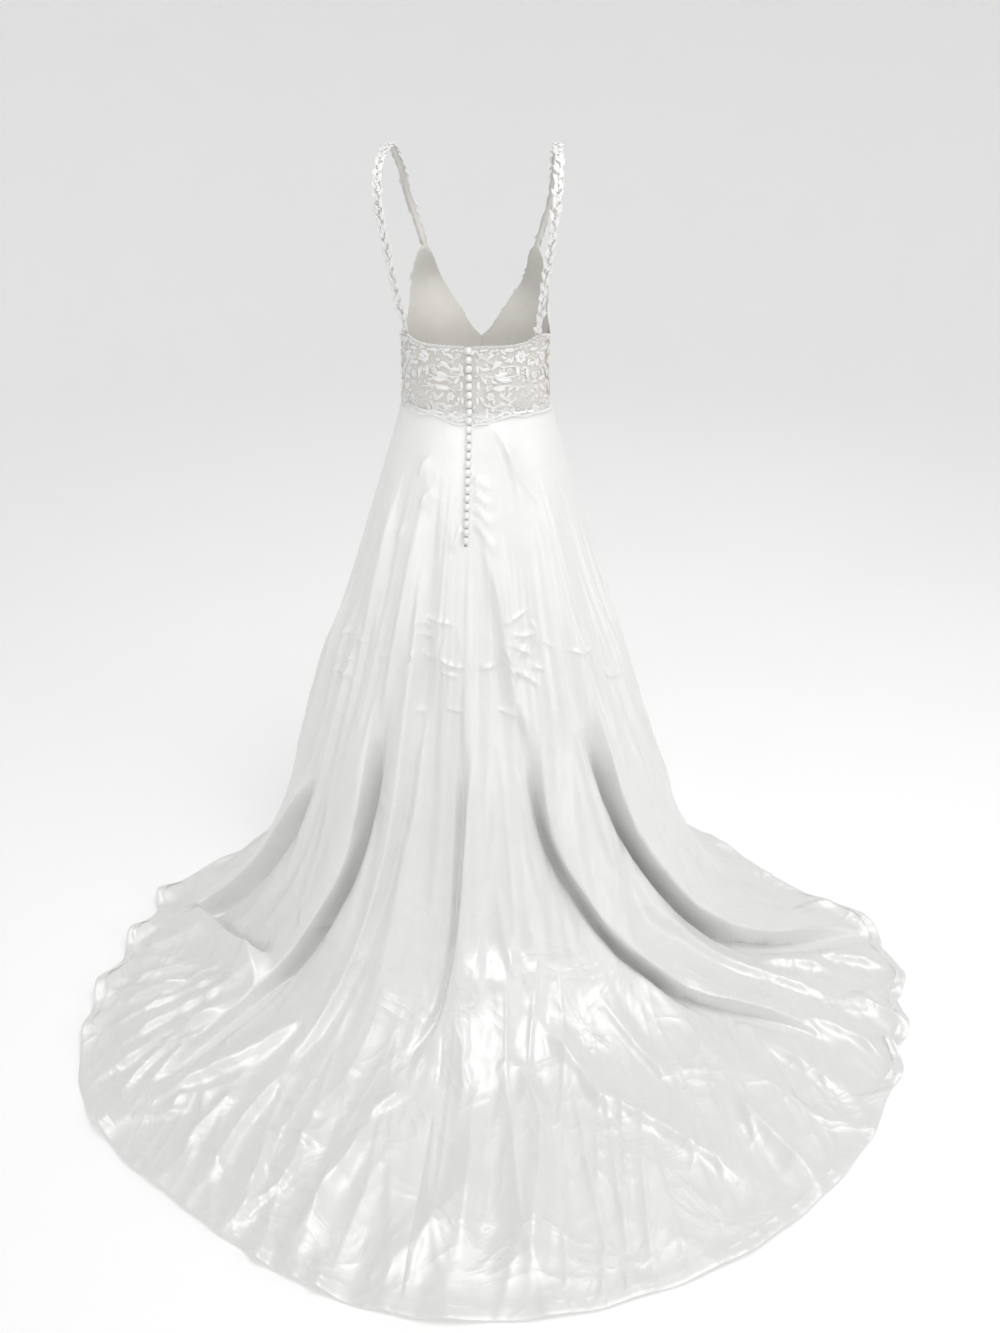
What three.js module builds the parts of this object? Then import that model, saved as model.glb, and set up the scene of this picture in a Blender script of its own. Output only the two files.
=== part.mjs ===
// A wedding dress in its worn, hollow form: an A-line satin skirt with a train, a lace bodice with a
// low open back, lace straps, and a column of covered buttons down the centre back.
// Millimetres, +Z up. The front faces -Y, the train runs out to +Y, +X is the wearer's left.
// The origin is midway between the straps, at the height where they rest on the shoulders.
import * as THREE from 'three';

const clothWall = 2;            // wall of every panel, band and strap
const seamGap = 0.3;            // between pieces sewn to each other
const shoulderHeight = 1445;    // underside of the straps above the floor
const waistHeight = 1030;       // seam between bodice and skirt
const bandEdge = 74;            // degrees from the centre back where the lace band meets the side panel
const frontEdge = 106;          // degrees from the centre back where the side panel meets the front
const sideSeam = 85;            // degrees from the centre back where the skirt panels meet
const hemRest = 8;              // least width of hem that lies flat on the floor

// A fold fades in and out over these shares of its path.
const foldFadeIn = 0.35;
const foldFadeOut = 0.3;
// The front's flutes grow from one distance down to the other, and fade over the last stretch.
const fluteStart = 150;
const fluteFull = 800;
const fluteEnd = 1150;
const fluteFade = 250;

const buttonCount = 23;
const buttonPitch = 15;         // along the centre back seam
const buttonRadius = 5.2;
const buttonDepth = 4.2;
const topButtonDrop = 6;        // first button below the top of the lace band

const strapWidth = 20;
const strapAngle = 60;          // degrees from the centre back where a strap leaves the band
const strapFrontAngle = 138;    // and where it comes down on the front

const satin = { color: 0xf2f1ec, roughness: 0.38, metalness: 0 };
const lace = { color: 0xefebe1, roughness: 0.75, metalness: 0 };
const net = { color: 0xd9cbb4, roughness: 0.8, metalness: 0 };

// Outline of the bodice at each height: half the width, and how far back and front stand from the middle.
const torso = [
  { height: 1030, halfWidth: 137.5, back: 92, front: 98 },
  { height: 1085, halfWidth: 134, back: 90, front: 103 },
  { height: 1145, halfWidth: 134, back: 90, front: 112 },
  { height: 1235, halfWidth: 144, back: 92, front: 118 },
  { height: 1300, halfWidth: 146, back: 92, front: 108 },
];

// Each cup, by its angle from the centre front, its height, how far it stands out and how far it spreads.
const cup = { angle: 30, height: 1222, rise: 26, spreadAngle: 25, spreadHeight: 52 };

// Top edge of the bodice, from the centre back round to the centre front.
const topEdge = [
  { angle: 0, height: 1142 },
  { angle: 32, height: 1143 },
  { angle: 46, height: 1147 },
  { angle: 57, height: 1155 },
  { angle: 72, height: 1155 },
  { angle: 90, height: 1151 },
  { angle: 108, height: 1168 },
  { angle: 124, height: 1222 },
  { angle: 133, height: 1280 },
  { angle: 143, height: 1280 },
  { angle: 156, height: 1214 },
  { angle: 170, height: 1152 },
  { angle: 180, height: 1128 },
];

// The skirt's cut by angle from the centre back: degrees it leans out, the height where it starts to
// curve towards the floor, how far it runs past the cone's foot before it lies flat, and the hem's radius.
const flare = [
  { angle: -180, slope: 13, bend: 60, run: 40, hem: 395 },
  { angle: -135, slope: 14, bend: 80, run: 40, hem: 425 },
  { angle: -110, slope: 16, bend: 130, run: 70, hem: 480 },
  { angle: -94, slope: 18, bend: 200, run: 120, hem: 585 },
  { angle: -84, slope: 19, bend: 240, run: 170, hem: 680 },
  { angle: -75, slope: 19, bend: 260, run: 200, hem: 870 },
  { angle: -60, slope: 19.5, bend: 280, run: 200, hem: 955 },
  { angle: -40, slope: 20, bend: 300, run: 210, hem: 1022 },
  { angle: -20, slope: 20, bend: 300, run: 220, hem: 1050 },
  { angle: 0, slope: 20, bend: 300, run: 220, hem: 1050 },
  { angle: 20, slope: 20, bend: 300, run: 210, hem: 992 },
  { angle: 38, slope: 19.5, bend: 280, run: 200, hem: 962 },
  { angle: 50, slope: 19.5, bend: 270, run: 200, hem: 862 },
  { angle: 62, slope: 19, bend: 260, run: 200, hem: 748 },
  { angle: 72, slope: 19, bend: 240, run: 180, hem: 680 },
  { angle: 84, slope: 18, bend: 200, run: 120, hem: 540 },
  { angle: 110, slope: 16, bend: 130, run: 60, hem: 465 },
  { angle: 135, slope: 14, bend: 80, run: 40, hem: 425 },
];

// The largest folds: a path of [angle, distance down from the waist], how far the cloth rises off the
// plain flare (negative for a trough), half its width, and how far its crest leans towards larger angles.
const folds = [
  { name: 'left deep ridge', rise: 40, width: 46, lean: -12,
    path: [[31, 600], [31.5, 850], [35, 1030], [36, 1150], [35, 1280], [34, 1420]] },
  { name: 'left hook', rise: 38, width: 46, lean: 12,
    path: [[60, 880], [61.5, 1080], [59, 1190], [48, 1165], [38, 1120]] },
  { name: 'left long crest', rise: 14, width: 34, lean: 0,
    path: [[27, 120], [20, 430], [19, 700], [22, 1080], [23, 1360]] },
  { name: 'left side crest', rise: 10, width: 34, lean: 0,
    path: [[56, 60], [42, 320], [38, 560], [42, 900]] },
  { name: 'inner trough', rise: -12, width: 40, lean: 0,
    path: [[11, 400], [11, 620], [12, 920]] },
  { name: 'centre swell', rise: 22, width: 50, lean: 0,
    path: [[-9, 970], [-6, 1120], [-1, 1250]] },
  { name: 'right inner crest', rise: 11, width: 36, lean: 0,
    path: [[-26, 130], [-31, 480], [-30, 640]] },
  { name: 'right overhung ridge', rise: 36, width: 58, lean: 12,
    path: [[-27, 680], [-33, 890], [-42, 1080], [-50, 1260], [-53, 1430]] },
  { name: 'right middle crest', rise: 12, width: 34, lean: 0,
    path: [[-44, 270], [-43, 600], [-50, 1000]] },
  { name: 'right outer ridge', rise: 42, width: 60, lean: 12,
    path: [[-48, 600], [-53, 860], [-62, 1080], [-70, 1260], [-77, 1420]] },
  { name: 'right side crest', rise: 12, width: 36, lean: 0,
    path: [[-60, 300], [-64, 580], [-75, 860], [-80, 1120]] },
  { name: 'train crease left', rise: 12, width: 30, lean: 0,
    path: [[20, 1160], [21, 1370], [20, 1530]] },
  { name: 'train crease right', rise: 12, width: 30, lean: 0,
    path: [[-11, 1160], [-13, 1330], [-10, 1600]] },
  { name: 'train crease far right', rise: 12, width: 32, lean: 0,
    path: [[-29, 1120], [-31, 1300], [-36, 1540]] },
];

// Soft vertical flutes that fall round the front, by angle, how far each stands out, and its half width.
const frontFlutes = [
  { angle: 104, rise: 16, width: 42 },
  { angle: 128, rise: 13, width: 36 },
  { angle: 155, rise: 15, width: 40 },
  { angle: -168, rise: 12, width: 36 },
  { angle: -142, rise: 15, width: 40 },
  { angle: -114, rise: 16, width: 42 },
];

const radians = THREE.MathUtils.degToRad;
const smooth = THREE.MathUtils.smoothstep;

// A value read from a table of rows that goes right round the body, along one smooth curve.
function around(rows, angle, column) {
  const turn = THREE.MathUtils.euclideanModulo(angle + 180, 360) - 180;
  const count = rows.length;
  let before = count - 1;
  while (rows[before].angle > turn) before -= 1;
  const at = (step) => {
    const index = before + step;
    const lap = Math.floor(index / count);
    const row = rows[index - lap * count];
    return { angle: row.angle + 360 * lap, value: row[column] };
  };
  const [first, start, end, last] = [at(-1), at(0), at(1), at(2)];
  const startPull = (end.value - first.value) / (end.angle - first.angle);
  const endPull = (last.value - start.value) / (last.angle - start.angle);
  return hermite(turn, start.angle, end.angle, start.value, end.value, startPull, endPull);
}

// A value read from a table of rows in rising order of one column, along one smooth curve.
function between(rows, key, place, column) {
  const clamped = THREE.MathUtils.clamp(place, rows[0][key], rows[rows.length - 1][key]);
  let before = 0;
  while (before < rows.length - 2 && rows[before + 1][key] <= clamped) before += 1;
  const pullAt = (index) => {
    const low = rows[Math.max(index - 1, 0)];
    const high = rows[Math.min(index + 1, rows.length - 1)];
    return (high[column] - low[column]) / (high[key] - low[key]);
  };
  const start = rows[before];
  const end = rows[before + 1];
  const [startPull, endPull] = [pullAt(before), pullAt(before + 1)];
  return hermite(clamped, start[key], end[key], start[column], end[column], startPull, endPull);
}

function hermite(place, from, to, fromValue, toValue, fromPull, toPull) {
  const step = to - from;
  const t = (place - from) / step;
  const rise = t * t * (3 - 2 * t);
  const pulls = t * (1 - t) * ((1 - t) * fromPull - t * toPull);
  return fromValue + rise * (toValue - fromValue) + step * pulls;
}

// ---- form of the bodice

// A point on an oval section, by angle from the centre back.
function ovalPoint(angle, halfWidth, back, front, height) {
  const turn = radians(angle);
  const depth = Math.cos(turn) > 0 ? back : front;
  return new THREE.Vector3(halfWidth * Math.sin(turn), depth * Math.cos(turn), height);
}

function bodicePoint(angle, height) {
  const halfWidth = between(torso, 'height', height, 'halfWidth');
  const back = between(torso, 'height', height, 'back');
  const front = between(torso, 'height', height, 'front');
  const point = ovalPoint(angle, halfWidth, back, front, height);
  const fromCup = (180 - Math.abs(angle) - cup.angle) / cup.spreadAngle;
  const fromCupHeight = (height - cup.height) / cup.spreadHeight;
  const swell = cup.rise * Math.exp(-(fromCup ** 2) - fromCupHeight ** 2);
  const outward = new THREE.Vector3(Math.sin(radians(angle)), Math.cos(radians(angle)), 0);
  return point.addScaledVector(outward, swell);
}

function topHeight(angle) {
  return between(topEdge, 'angle', Math.abs(angle), 'height');
}

// ---- form of the skirt

function waistPoint(angle) {
  const { halfWidth, back, front } = torso[0];
  return ovalPoint(angle, halfWidth, back, front, waistHeight);
}

// Side view of the skirt at one angle: down the cone, round the bend and out along the floor.
function fallLine(angle) {
  const slope = Math.tan(radians(around(flare, angle, 'slope')));
  const bend = around(flare, angle, 'bend');
  const top = waistHeight - clothWall;
  const foot = top * slope;
  const start = waistPoint(angle);
  const hemOut = around(flare, angle, 'hem') - Math.hypot(start.x, start.y);
  const lies = Math.min(foot + around(flare, angle, 'run'), hemOut - hemRest);
  const bendStart = new THREE.Vector2(foot - bend * slope, bend);
  const line = new THREE.CurvePath();
  line.add(new THREE.LineCurve(new THREE.Vector2(0, top), bendStart));
  line.add(new THREE.QuadraticBezierCurve(bendStart, new THREE.Vector2(foot, 0), new THREE.Vector2(lies, 0)));
  line.add(new THREE.LineCurve(new THREE.Vector2(lies, 0), new THREE.Vector2(hemOut, 0)));
  return line;
}

// A point of the plain flare, by angle and by its share of the way from the waist to the hem.
function flarePoint(angle, share) {
  const line = fallLine(angle);
  const side = line.getPoint(THREE.MathUtils.clamp(share, 0, 1));
  const outward = new THREE.Vector3(Math.sin(radians(angle)), Math.cos(radians(angle)), 0);
  const point = waistPoint(angle).setZ(side.y + clothWall);
  return { point: point.addScaledVector(outward, side.x), along: share * line.getLength() };
}

// Distance from a place on the skirt to a fold's path, and how far in from the path's ends it lies.
function toPath(path, angle, along, radius) {
  let best = { distance: Infinity, share: 0 };
  for (let leg = 0; leg < path.length - 1; leg += 1) {
    const [fromAngle, fromAlong] = path[leg];
    const [toAngle, toAlong] = path[leg + 1];
    const across = radians(toAngle - fromAngle) * radius;
    const down = toAlong - fromAlong;
    const placeAcross = radians(angle - fromAngle) * radius;
    const placeDown = along - fromAlong;
    const reach = across * across + down * down;
    const t = THREE.MathUtils.clamp((placeAcross * across + placeDown * down) / reach, 0, 1);
    const distance = Math.hypot(placeAcross - t * across, placeDown - t * down);
    if (distance < best.distance) best = { distance, share: (leg + t) / (path.length - 1) };
  }
  return best;
}

// How far the folds lift a place off the plain flare, and how far they push it round.
function foldLift(angle, along, radius) {
  let lift = 0;
  let push = 0;
  for (const fold of folds) {
    const { distance, share } = toPath(fold.path, angle, along, radius);
    const fade = smooth(share, 0, foldFadeIn) * smooth(1 - share, 0, foldFadeOut);
    const strength = Math.exp(-((distance / fold.width) ** 2)) * fade;
    lift += fold.rise * strength;
    push += fold.lean * strength;
  }
  for (const flute of frontFlutes) {
    const distance = radians(angleBetween(angle, flute.angle)) * radius;
    const fade = smooth(along, fluteStart, fluteFull) * smooth(fluteEnd - along, 0, fluteFade);
    lift += flute.rise * Math.exp(-((distance / flute.width) ** 2)) * fade;
  }
  return { lift, push };
}

function angleBetween(angle, other) {
  return THREE.MathUtils.euclideanModulo(angle - other + 180, 360) - 180;
}

// A point of the skirt's outer face.
function skirtPoint(angle, share) {
  const { point, along } = flarePoint(angle, share);
  const radius = Math.hypot(point.x, point.y);
  const { lift, push } = foldLift(angle, along, radius);
  const step = 0.004;
  const above = flarePoint(angle, Math.max(share - step, 0)).point;
  const down = flarePoint(angle, Math.min(share + step, 1)).point.sub(above);
  const round = new THREE.Vector3(Math.cos(radians(angle)), -Math.sin(radians(angle)), 0);
  const out = new THREE.Vector3().crossVectors(round, down).normalize();
  point.addScaledVector(out, lift).addScaledVector(round, push);
  point.z = Math.max(point.z, clothWall);
  return point;
}

// ---- making solids

// A closed wall: the outer face is a grid of points, and the inner face lies one wall inside it.
function wall(columns, rows, outerAt) {
  const outer = [];
  const inner = [];
  for (let column = 0; column <= columns; column += 1) {
    for (let row = 0; row <= rows; row += 1) {
      const u = column / columns;
      const v = row / rows;
      const point = outerAt(u, v);
      const nudge = 0.002;
      const alongColumns = outerAt(Math.min(u + nudge, 1), v).sub(outerAt(Math.max(u - nudge, 0), v));
      const alongRows = outerAt(u, Math.min(v + nudge, 1)).sub(outerAt(u, Math.max(v - nudge, 0)));
      const out = alongColumns.cross(alongRows).normalize();
      outer.push(point);
      inner.push(point.clone().addScaledVector(out, -clothWall));
    }
  }
  const stride = rows + 1;
  const offset = outer.length;
  const faces = [];
  const quad = (a, b, c, d) => faces.push(a, b, c, a, c, d);
  for (let column = 0; column < columns; column += 1) {
    for (let row = 0; row < rows; row += 1) {
      const a = column * stride + row;
      quad(a, a + stride, a + stride + 1, a + 1);
      quad(offset + a, offset + a + 1, offset + a + stride + 1, offset + a + stride);
    }
  }
  for (let row = 0; row < rows; row += 1) {
    const last = columns * stride + row;
    quad(row, row + 1, offset + row + 1, offset + row);
    quad(last, offset + last, offset + last + 1, last + 1);
  }
  for (let column = 0; column < columns; column += 1) {
    const top = column * stride;
    const foot = top + rows;
    quad(top, offset + top, offset + top + stride, top + stride);
    quad(foot, foot + stride, offset + foot + stride, offset + foot);
  }
  const geometry = new THREE.BufferGeometry();
  const places = [...outer, ...inner].flatMap((point) => point.toArray());
  geometry.setAttribute('position', new THREE.Float32BufferAttribute(places, 3));
  geometry.setIndex(faces);
  geometry.computeVertexNormals();
  return geometry;
}

function piece(name, geometry, finish) {
  const mesh = new THREE.Mesh(geometry, new THREE.MeshStandardMaterial(finish));
  mesh.name = name;
  return mesh;
}

// ---- skirt panels

// Three panels, each from one seam angle round to the next.
const skirtPanels = [
  { name: 'skirt_back_right', from: -sideSeam, to: 0, columns: 28, rows: 24 },
  { name: 'skirt_back_left', from: 0, to: sideSeam, columns: 28, rows: 24 },
  { name: 'skirt_front', from: sideSeam, to: 360 - sideSeam, columns: 20, rows: 24 },
];

function skirtPanel({ name, from, to, columns, rows }) {
  const outerAt = (u, v) => {
    const angle = THREE.MathUtils.lerp(from, to, u);
    const point = skirtPoint(angle, v);
    // Half the seam gap is taken off each side edge.
    const trim = (seamGap / 2) * (Math.max(1 - u * columns, 0) - Math.max(1 - (1 - u) * columns, 0));
    const round = new THREE.Vector3(Math.cos(radians(angle)), -Math.sin(radians(angle)), 0);
    return point.addScaledVector(round, trim);
  };
  return piece(name, wall(columns, rows, outerAt), satin);
}

// ---- bodice panels

const bodicePanels = [
  { name: 'back_band', from: 0, to: bandEdge, columns: 10, rows: 3, finish: lace },
  { name: 'side_panel', from: bandEdge, to: frontEdge, columns: 5, rows: 4, finish: net },
  { name: 'bodice_front', from: frontEdge, to: 180, columns: 12, rows: 8, finish: lace },
];

function bodicePanel({ name, from, to, columns, rows, finish }, side, sideName) {
  const outerAt = (u, v) => {
    const share = side > 0 ? u : 1 - u;
    const angle = THREE.MathUtils.lerp(from, to, share);
    const foot = waistHeight + seamGap;
    const height = THREE.MathUtils.lerp(topHeight(angle), foot, v);
    const point = bodicePoint(angle, height);
    const trim = (seamGap / 2) * (Math.max(1 - share * columns, 0) - Math.max(1 - (1 - share) * columns, 0));
    const round = new THREE.Vector3(Math.cos(radians(angle)), -Math.sin(radians(angle)), 0);
    point.addScaledVector(round, trim);
    point.x *= side;
    return point;
  };
  return piece(`${name}_${sideName}`, wall(columns, rows, outerAt), finish);
}

// ---- straps

// A strap's middle line on the wearer's left, from the band up the back, over the shoulder and down the
// front, with the way its width faces, in degrees round from +X.
function strapStations() {
  const back = bodicePoint(strapAngle, topHeight(strapAngle));
  const front = bodicePoint(strapFrontAngle, topHeight(strapFrontAngle));
  const top = shoulderHeight + clothWall / 2;
  return [
    { x: back.x - 1, y: back.y - 1, z: back.z + seamGap, turn: -52 },
    { x: back.x, y: back.y + 2, z: back.z + 12, turn: -52 },
    { x: 122, y: 62, z: 1205, turn: -40 },
    { x: 129, y: 77, z: 1255, turn: -30 },
    { x: 138, y: 86, z: 1315, turn: -20 },
    { x: 146, y: 83, z: 1375, turn: -12 },
    { x: 146, y: 60, z: 1422, turn: -5 },
    { x: 140, y: 12, z: top, turn: 0 },
    { x: 138, y: -12, z: top, turn: 0 },
    { x: 134, y: -58, z: 1418, turn: 3 },
    { x: 127, y: -94, z: 1365, turn: 10 },
    { x: front.x + 4, y: front.y - 2, z: front.z + 14, turn: 28 },
    { x: front.x - 0.5, y: front.y + 1, z: front.z + seamGap, turn: 30 },
  ];
}

function strap(side, sideName) {
  const stations = strapStations();
  const steps = 30;
  const stops = stations.map(({ x, y, z }) => new THREE.Vector3(x, y, z));
  const route = new THREE.CatmullRomCurve3(stops, false, 'centripetal');
  const places = [];
  for (let step = 0; step <= steps; step += 1) {
    const t = step / steps;
    const middle = route.getPoint(t);
    const station = Math.min(Math.floor(t * (stations.length - 1)), stations.length - 2);
    const within = t * (stations.length - 1) - station;
    const turn = radians(THREE.MathUtils.lerp(stations[station].turn, stations[station + 1].turn, within));
    const across = new THREE.Vector3(Math.cos(turn), Math.sin(turn), 0);
    const heading = route.getTangent(t);
    // The two cut ends are level, so that they meet the bodice's top edge squarely.
    if (step === 0) heading.set(0, 0, 1);
    if (step === steps) heading.set(0, 0, -1);
    const out = new THREE.Vector3().crossVectors(heading, across).normalize();
    for (const [wide, thick] of [[-1, 1], [1, 1], [1, -1], [-1, -1]]) {
      const corner = middle.clone();
      corner.addScaledVector(across, (wide * strapWidth) / 2).addScaledVector(out, (thick * clothWall) / 2);
      places.push(corner.x * side, corner.y, corner.z);
    }
  }
  const faces = [];
  const quad = (a, b, c, d) => (side > 0 ? faces.push(a, b, c, a, c, d) : faces.push(a, c, b, a, d, c));
  for (let step = 0; step < steps; step += 1) {
    for (let corner = 0; corner < 4; corner += 1) {
      const a = step * 4 + corner;
      const b = step * 4 + ((corner + 1) % 4);
      quad(a, a + 4, b + 4, b);
    }
  }
  const end = steps * 4;
  quad(0, 1, 2, 3);
  quad(end + 3, end + 2, end + 1, end);
  const geometry = new THREE.BufferGeometry();
  geometry.setAttribute('position', new THREE.Float32BufferAttribute(places, 3));
  geometry.setIndex(faces);
  geometry.computeVertexNormals();
  return piece(`strap_${sideName}`, geometry, lace);
}

// ---- buttons

// A point on the centre back seam, by its distance down from the top of the band.
function seamPoint(drop) {
  const bandHeight = topHeight(0) - waistHeight;
  if (drop < bandHeight) return bodicePoint(0, topHeight(0) - drop);
  return skirtPoint(0, (drop - bandHeight) / fallLine(0).getLength());
}

// Where a button sits, and the way it faces: its back bridges the cloth just above and below it.
function buttonSeat(drop) {
  const above = seamPoint(drop - buttonRadius);
  const below = seamPoint(drop + buttonRadius);
  const out = above.clone().sub(below).cross(new THREE.Vector3(1, 0, 0)).normalize();
  return { middle: above.add(below).multiplyScalar(0.5), out };
}

// A covered button: flat back, rounded rim and a domed face.
function buttonShape() {
  const profile = [
    new THREE.Vector2(0, 0),
    new THREE.Vector2(buttonRadius * 0.82, 0),
    new THREE.Vector2(buttonRadius, buttonDepth * 0.3),
    new THREE.Vector2(buttonRadius * 0.66, buttonDepth * 0.84),
    new THREE.Vector2(0, buttonDepth),
  ];
  return new THREE.LatheGeometry(profile, 10);
}

function button(index) {
  const { middle, out } = buttonSeat(topButtonDrop + index * buttonPitch);
  const mesh = piece(`button_${String(index + 1).padStart(2, '0')}`, buttonShape(), satin);
  mesh.position.copy(middle).addScaledVector(out, seamGap);
  mesh.quaternion.setFromUnitVectors(new THREE.Vector3(0, 1, 0), out);
  return mesh;
}

// ---- the dress

const dress = new THREE.Group();
dress.position.z = -shoulderHeight;
for (const panel of skirtPanels) dress.add(skirtPanel(panel));
for (const [side, sideName] of [[1, 'left'], [-1, 'right']]) {
  for (const panel of bodicePanels) dress.add(bodicePanel(panel, side, sideName));
  dress.add(strap(side, sideName));
}
for (let index = 0; index < buttonCount; index += 1) dress.add(button(index));

const model = new THREE.Group();
model.add(dress);

export default model;
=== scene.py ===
import math
import random

import bpy
import numpy as np
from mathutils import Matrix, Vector


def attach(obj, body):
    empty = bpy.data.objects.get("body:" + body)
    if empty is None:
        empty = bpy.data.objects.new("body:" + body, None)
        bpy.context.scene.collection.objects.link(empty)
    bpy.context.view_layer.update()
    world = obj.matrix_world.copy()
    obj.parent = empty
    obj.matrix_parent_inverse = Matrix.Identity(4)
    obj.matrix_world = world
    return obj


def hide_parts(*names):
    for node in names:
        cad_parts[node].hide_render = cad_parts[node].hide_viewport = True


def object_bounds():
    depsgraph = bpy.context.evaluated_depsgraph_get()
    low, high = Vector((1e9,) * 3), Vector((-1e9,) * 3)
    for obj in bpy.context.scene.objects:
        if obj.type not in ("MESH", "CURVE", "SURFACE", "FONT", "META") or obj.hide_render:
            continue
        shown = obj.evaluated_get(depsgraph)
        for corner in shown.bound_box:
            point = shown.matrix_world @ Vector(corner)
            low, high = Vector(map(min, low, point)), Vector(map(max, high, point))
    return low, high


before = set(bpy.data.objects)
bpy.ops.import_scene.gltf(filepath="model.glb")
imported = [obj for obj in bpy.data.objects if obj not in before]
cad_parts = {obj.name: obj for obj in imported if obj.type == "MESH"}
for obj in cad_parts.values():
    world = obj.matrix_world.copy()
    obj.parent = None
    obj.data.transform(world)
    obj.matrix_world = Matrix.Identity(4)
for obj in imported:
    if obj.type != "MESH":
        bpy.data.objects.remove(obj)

cadLow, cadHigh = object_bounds()
floorLevel = cadLow.z
print("frame loaded, floor at", round(floorLevel, 4))


def table(columns, rows):
    # Rows of values, read by the names of their columns.
    return [dict(zip(columns.split(), row)) for row in rows]


# Numbers that several pieces share.

# Section of the bodice at each height above the floor: half its width, its depth behind and in front.
torso = table("height halfWidth back front", [
    (1.030, 0.1375, 0.092, 0.098),
    (1.085, 0.134, 0.090, 0.103),
    (1.145, 0.134, 0.090, 0.112),
    (1.235, 0.144, 0.092, 0.118),
    (1.300, 0.146, 0.092, 0.108),
])

cup = {"angle": 30, "height": 1.222, "rise": 0.026, "spreadAngle": 25, "spreadHeight": 0.052}

topEdge = table("angle height", [
    (0, 1.142), (32, 1.143), (46, 1.147), (57, 1.155), (72, 1.155), (90, 1.151), (108, 1.168), (124, 1.222),
    (133, 1.280), (143, 1.280), (156, 1.214), (170, 1.152), (180, 1.128),
])

waistHeight = torso[0]["height"]
sideSeam = 85
bandEdge = 74
frontEdge = 106

# The skirt's cut by angle from the centre back.
flare = table("angle slope bend run hem", [
    (-180, 13, 0.06, 0.04, 0.395),
    (-135, 14, 0.08, 0.04, 0.425),
    (-110, 16, 0.13, 0.07, 0.480),
    (-94, 18, 0.20, 0.12, 0.585),
    (-84, 19, 0.24, 0.17, 0.680),
    (-75, 19, 0.26, 0.20, 0.870),
    (-60, 19.5, 0.28, 0.20, 0.955),
    (-40, 20, 0.30, 0.21, 1.022),
    (-20, 20, 0.30, 0.22, 1.050),
    (0, 20, 0.30, 0.22, 1.050),
    (20, 20, 0.30, 0.21, 0.992),
    (38, 19.5, 0.28, 0.20, 0.962),
    (50, 19.5, 0.27, 0.20, 0.862),
    (62, 19, 0.26, 0.20, 0.748),
    (72, 19, 0.24, 0.18, 0.680),
    (84, 18, 0.20, 0.12, 0.540),
    (110, 16, 0.13, 0.06, 0.465),
    (135, 14, 0.08, 0.04, 0.425),
])


# Small maths.

def hermite(place, start, end, low, high, lowPull, highPull):
    step = end - start
    t = (place - start) / step
    return low + t * t * (3 - 2 * t) * (high - low) + step * t * (1 - t) * ((1 - t) * lowPull - t * highPull)


def wrapped(angles):
    # Degrees brought into -180 to 180.
    return (np.asarray(angles, float) + 180) % 360 - 180


def readAround(rows, angles, column):
    keys = np.array([row["angle"] for row in rows], float)
    values = np.array([row[column] for row in rows], float)
    keys = np.concatenate([keys[-2:] - 360, keys, keys[:2] + 360])
    values = np.concatenate([values[-2:], values, values[:2]])
    turned = wrapped(angles)
    pulls = np.gradient(values, keys)
    pulls[1:-1] = (values[2:] - values[:-2]) / (keys[2:] - keys[:-2])
    at = np.clip(np.searchsorted(keys, turned, side="right") - 1, 0, len(keys) - 2)
    return hermite(turned, keys[at], keys[at + 1], values[at], values[at + 1], pulls[at], pulls[at + 1])


def readAlong(rows, key, places, column):
    keys = np.array([row[key] for row in rows], float)
    values = np.array([row[column] for row in rows], float)
    pulls = np.empty_like(values)
    pulls[1:-1] = (values[2:] - values[:-2]) / (keys[2:] - keys[:-2])
    pulls[0] = (values[1] - values[0]) / (keys[1] - keys[0])
    pulls[-1] = (values[-1] - values[-2]) / (keys[-1] - keys[-2])
    held = np.clip(np.asarray(places, float), keys[0], keys[-1])
    at = np.clip(np.searchsorted(keys, held, side="right") - 1, 0, len(keys) - 2)
    return hermite(held, keys[at], keys[at + 1], values[at], values[at + 1], pulls[at], pulls[at + 1])


def unit(vectors):
    return vectors / np.linalg.norm(vectors, axis=-1, keepdims=True)


def running(steps):
    # The total up to each point, from 0 at the first.
    return np.concatenate([[0], np.cumsum(steps)])


def bell(distance):
    return np.exp(-distance ** 2)


def smooth(value, low, high):
    t = np.clip((value - low) / (high - low), 0, 1)
    return t * t * (3 - 2 * t)


largest = 0x7FFFFFFF  # of the whole numbers behind the noise


def scramble(column, row, seed):
    # A whole number that looks random but is always the same for the same cell and seed.
    mixed = (column * 374761393 + row * 668265263 + seed * 974634777) & largest
    return ((mixed ^ (mixed >> 13)) * 1274126177) & largest


def latticeNoise(x, y, seed):
    # Smooth noise in the plane, from -1 to 1.
    column = np.floor(x).astype(np.int64)
    row = np.floor(y).astype(np.int64)
    across = x - column
    down = y - row

    def corner(stepX, stepY):
        mixed = scramble(column + stepX, row + stepY, seed)
        turn = (mixed ^ (mixed >> 16)) * (2 * math.pi / largest)
        return np.cos(turn) * (across - stepX) + np.sin(turn) * (down - stepY)

    easeX = across ** 3 * (across * (6 * across - 15) + 10)
    easeY = down ** 3 * (down * (6 * down - 15) + 10)
    top = corner(0, 0) * (1 - easeX) + corner(1, 0) * easeX
    foot = corner(0, 1) * (1 - easeX) + corner(1, 1) * easeX
    return 1.5 * (top * (1 - easeY) + foot * easeY)


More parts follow.
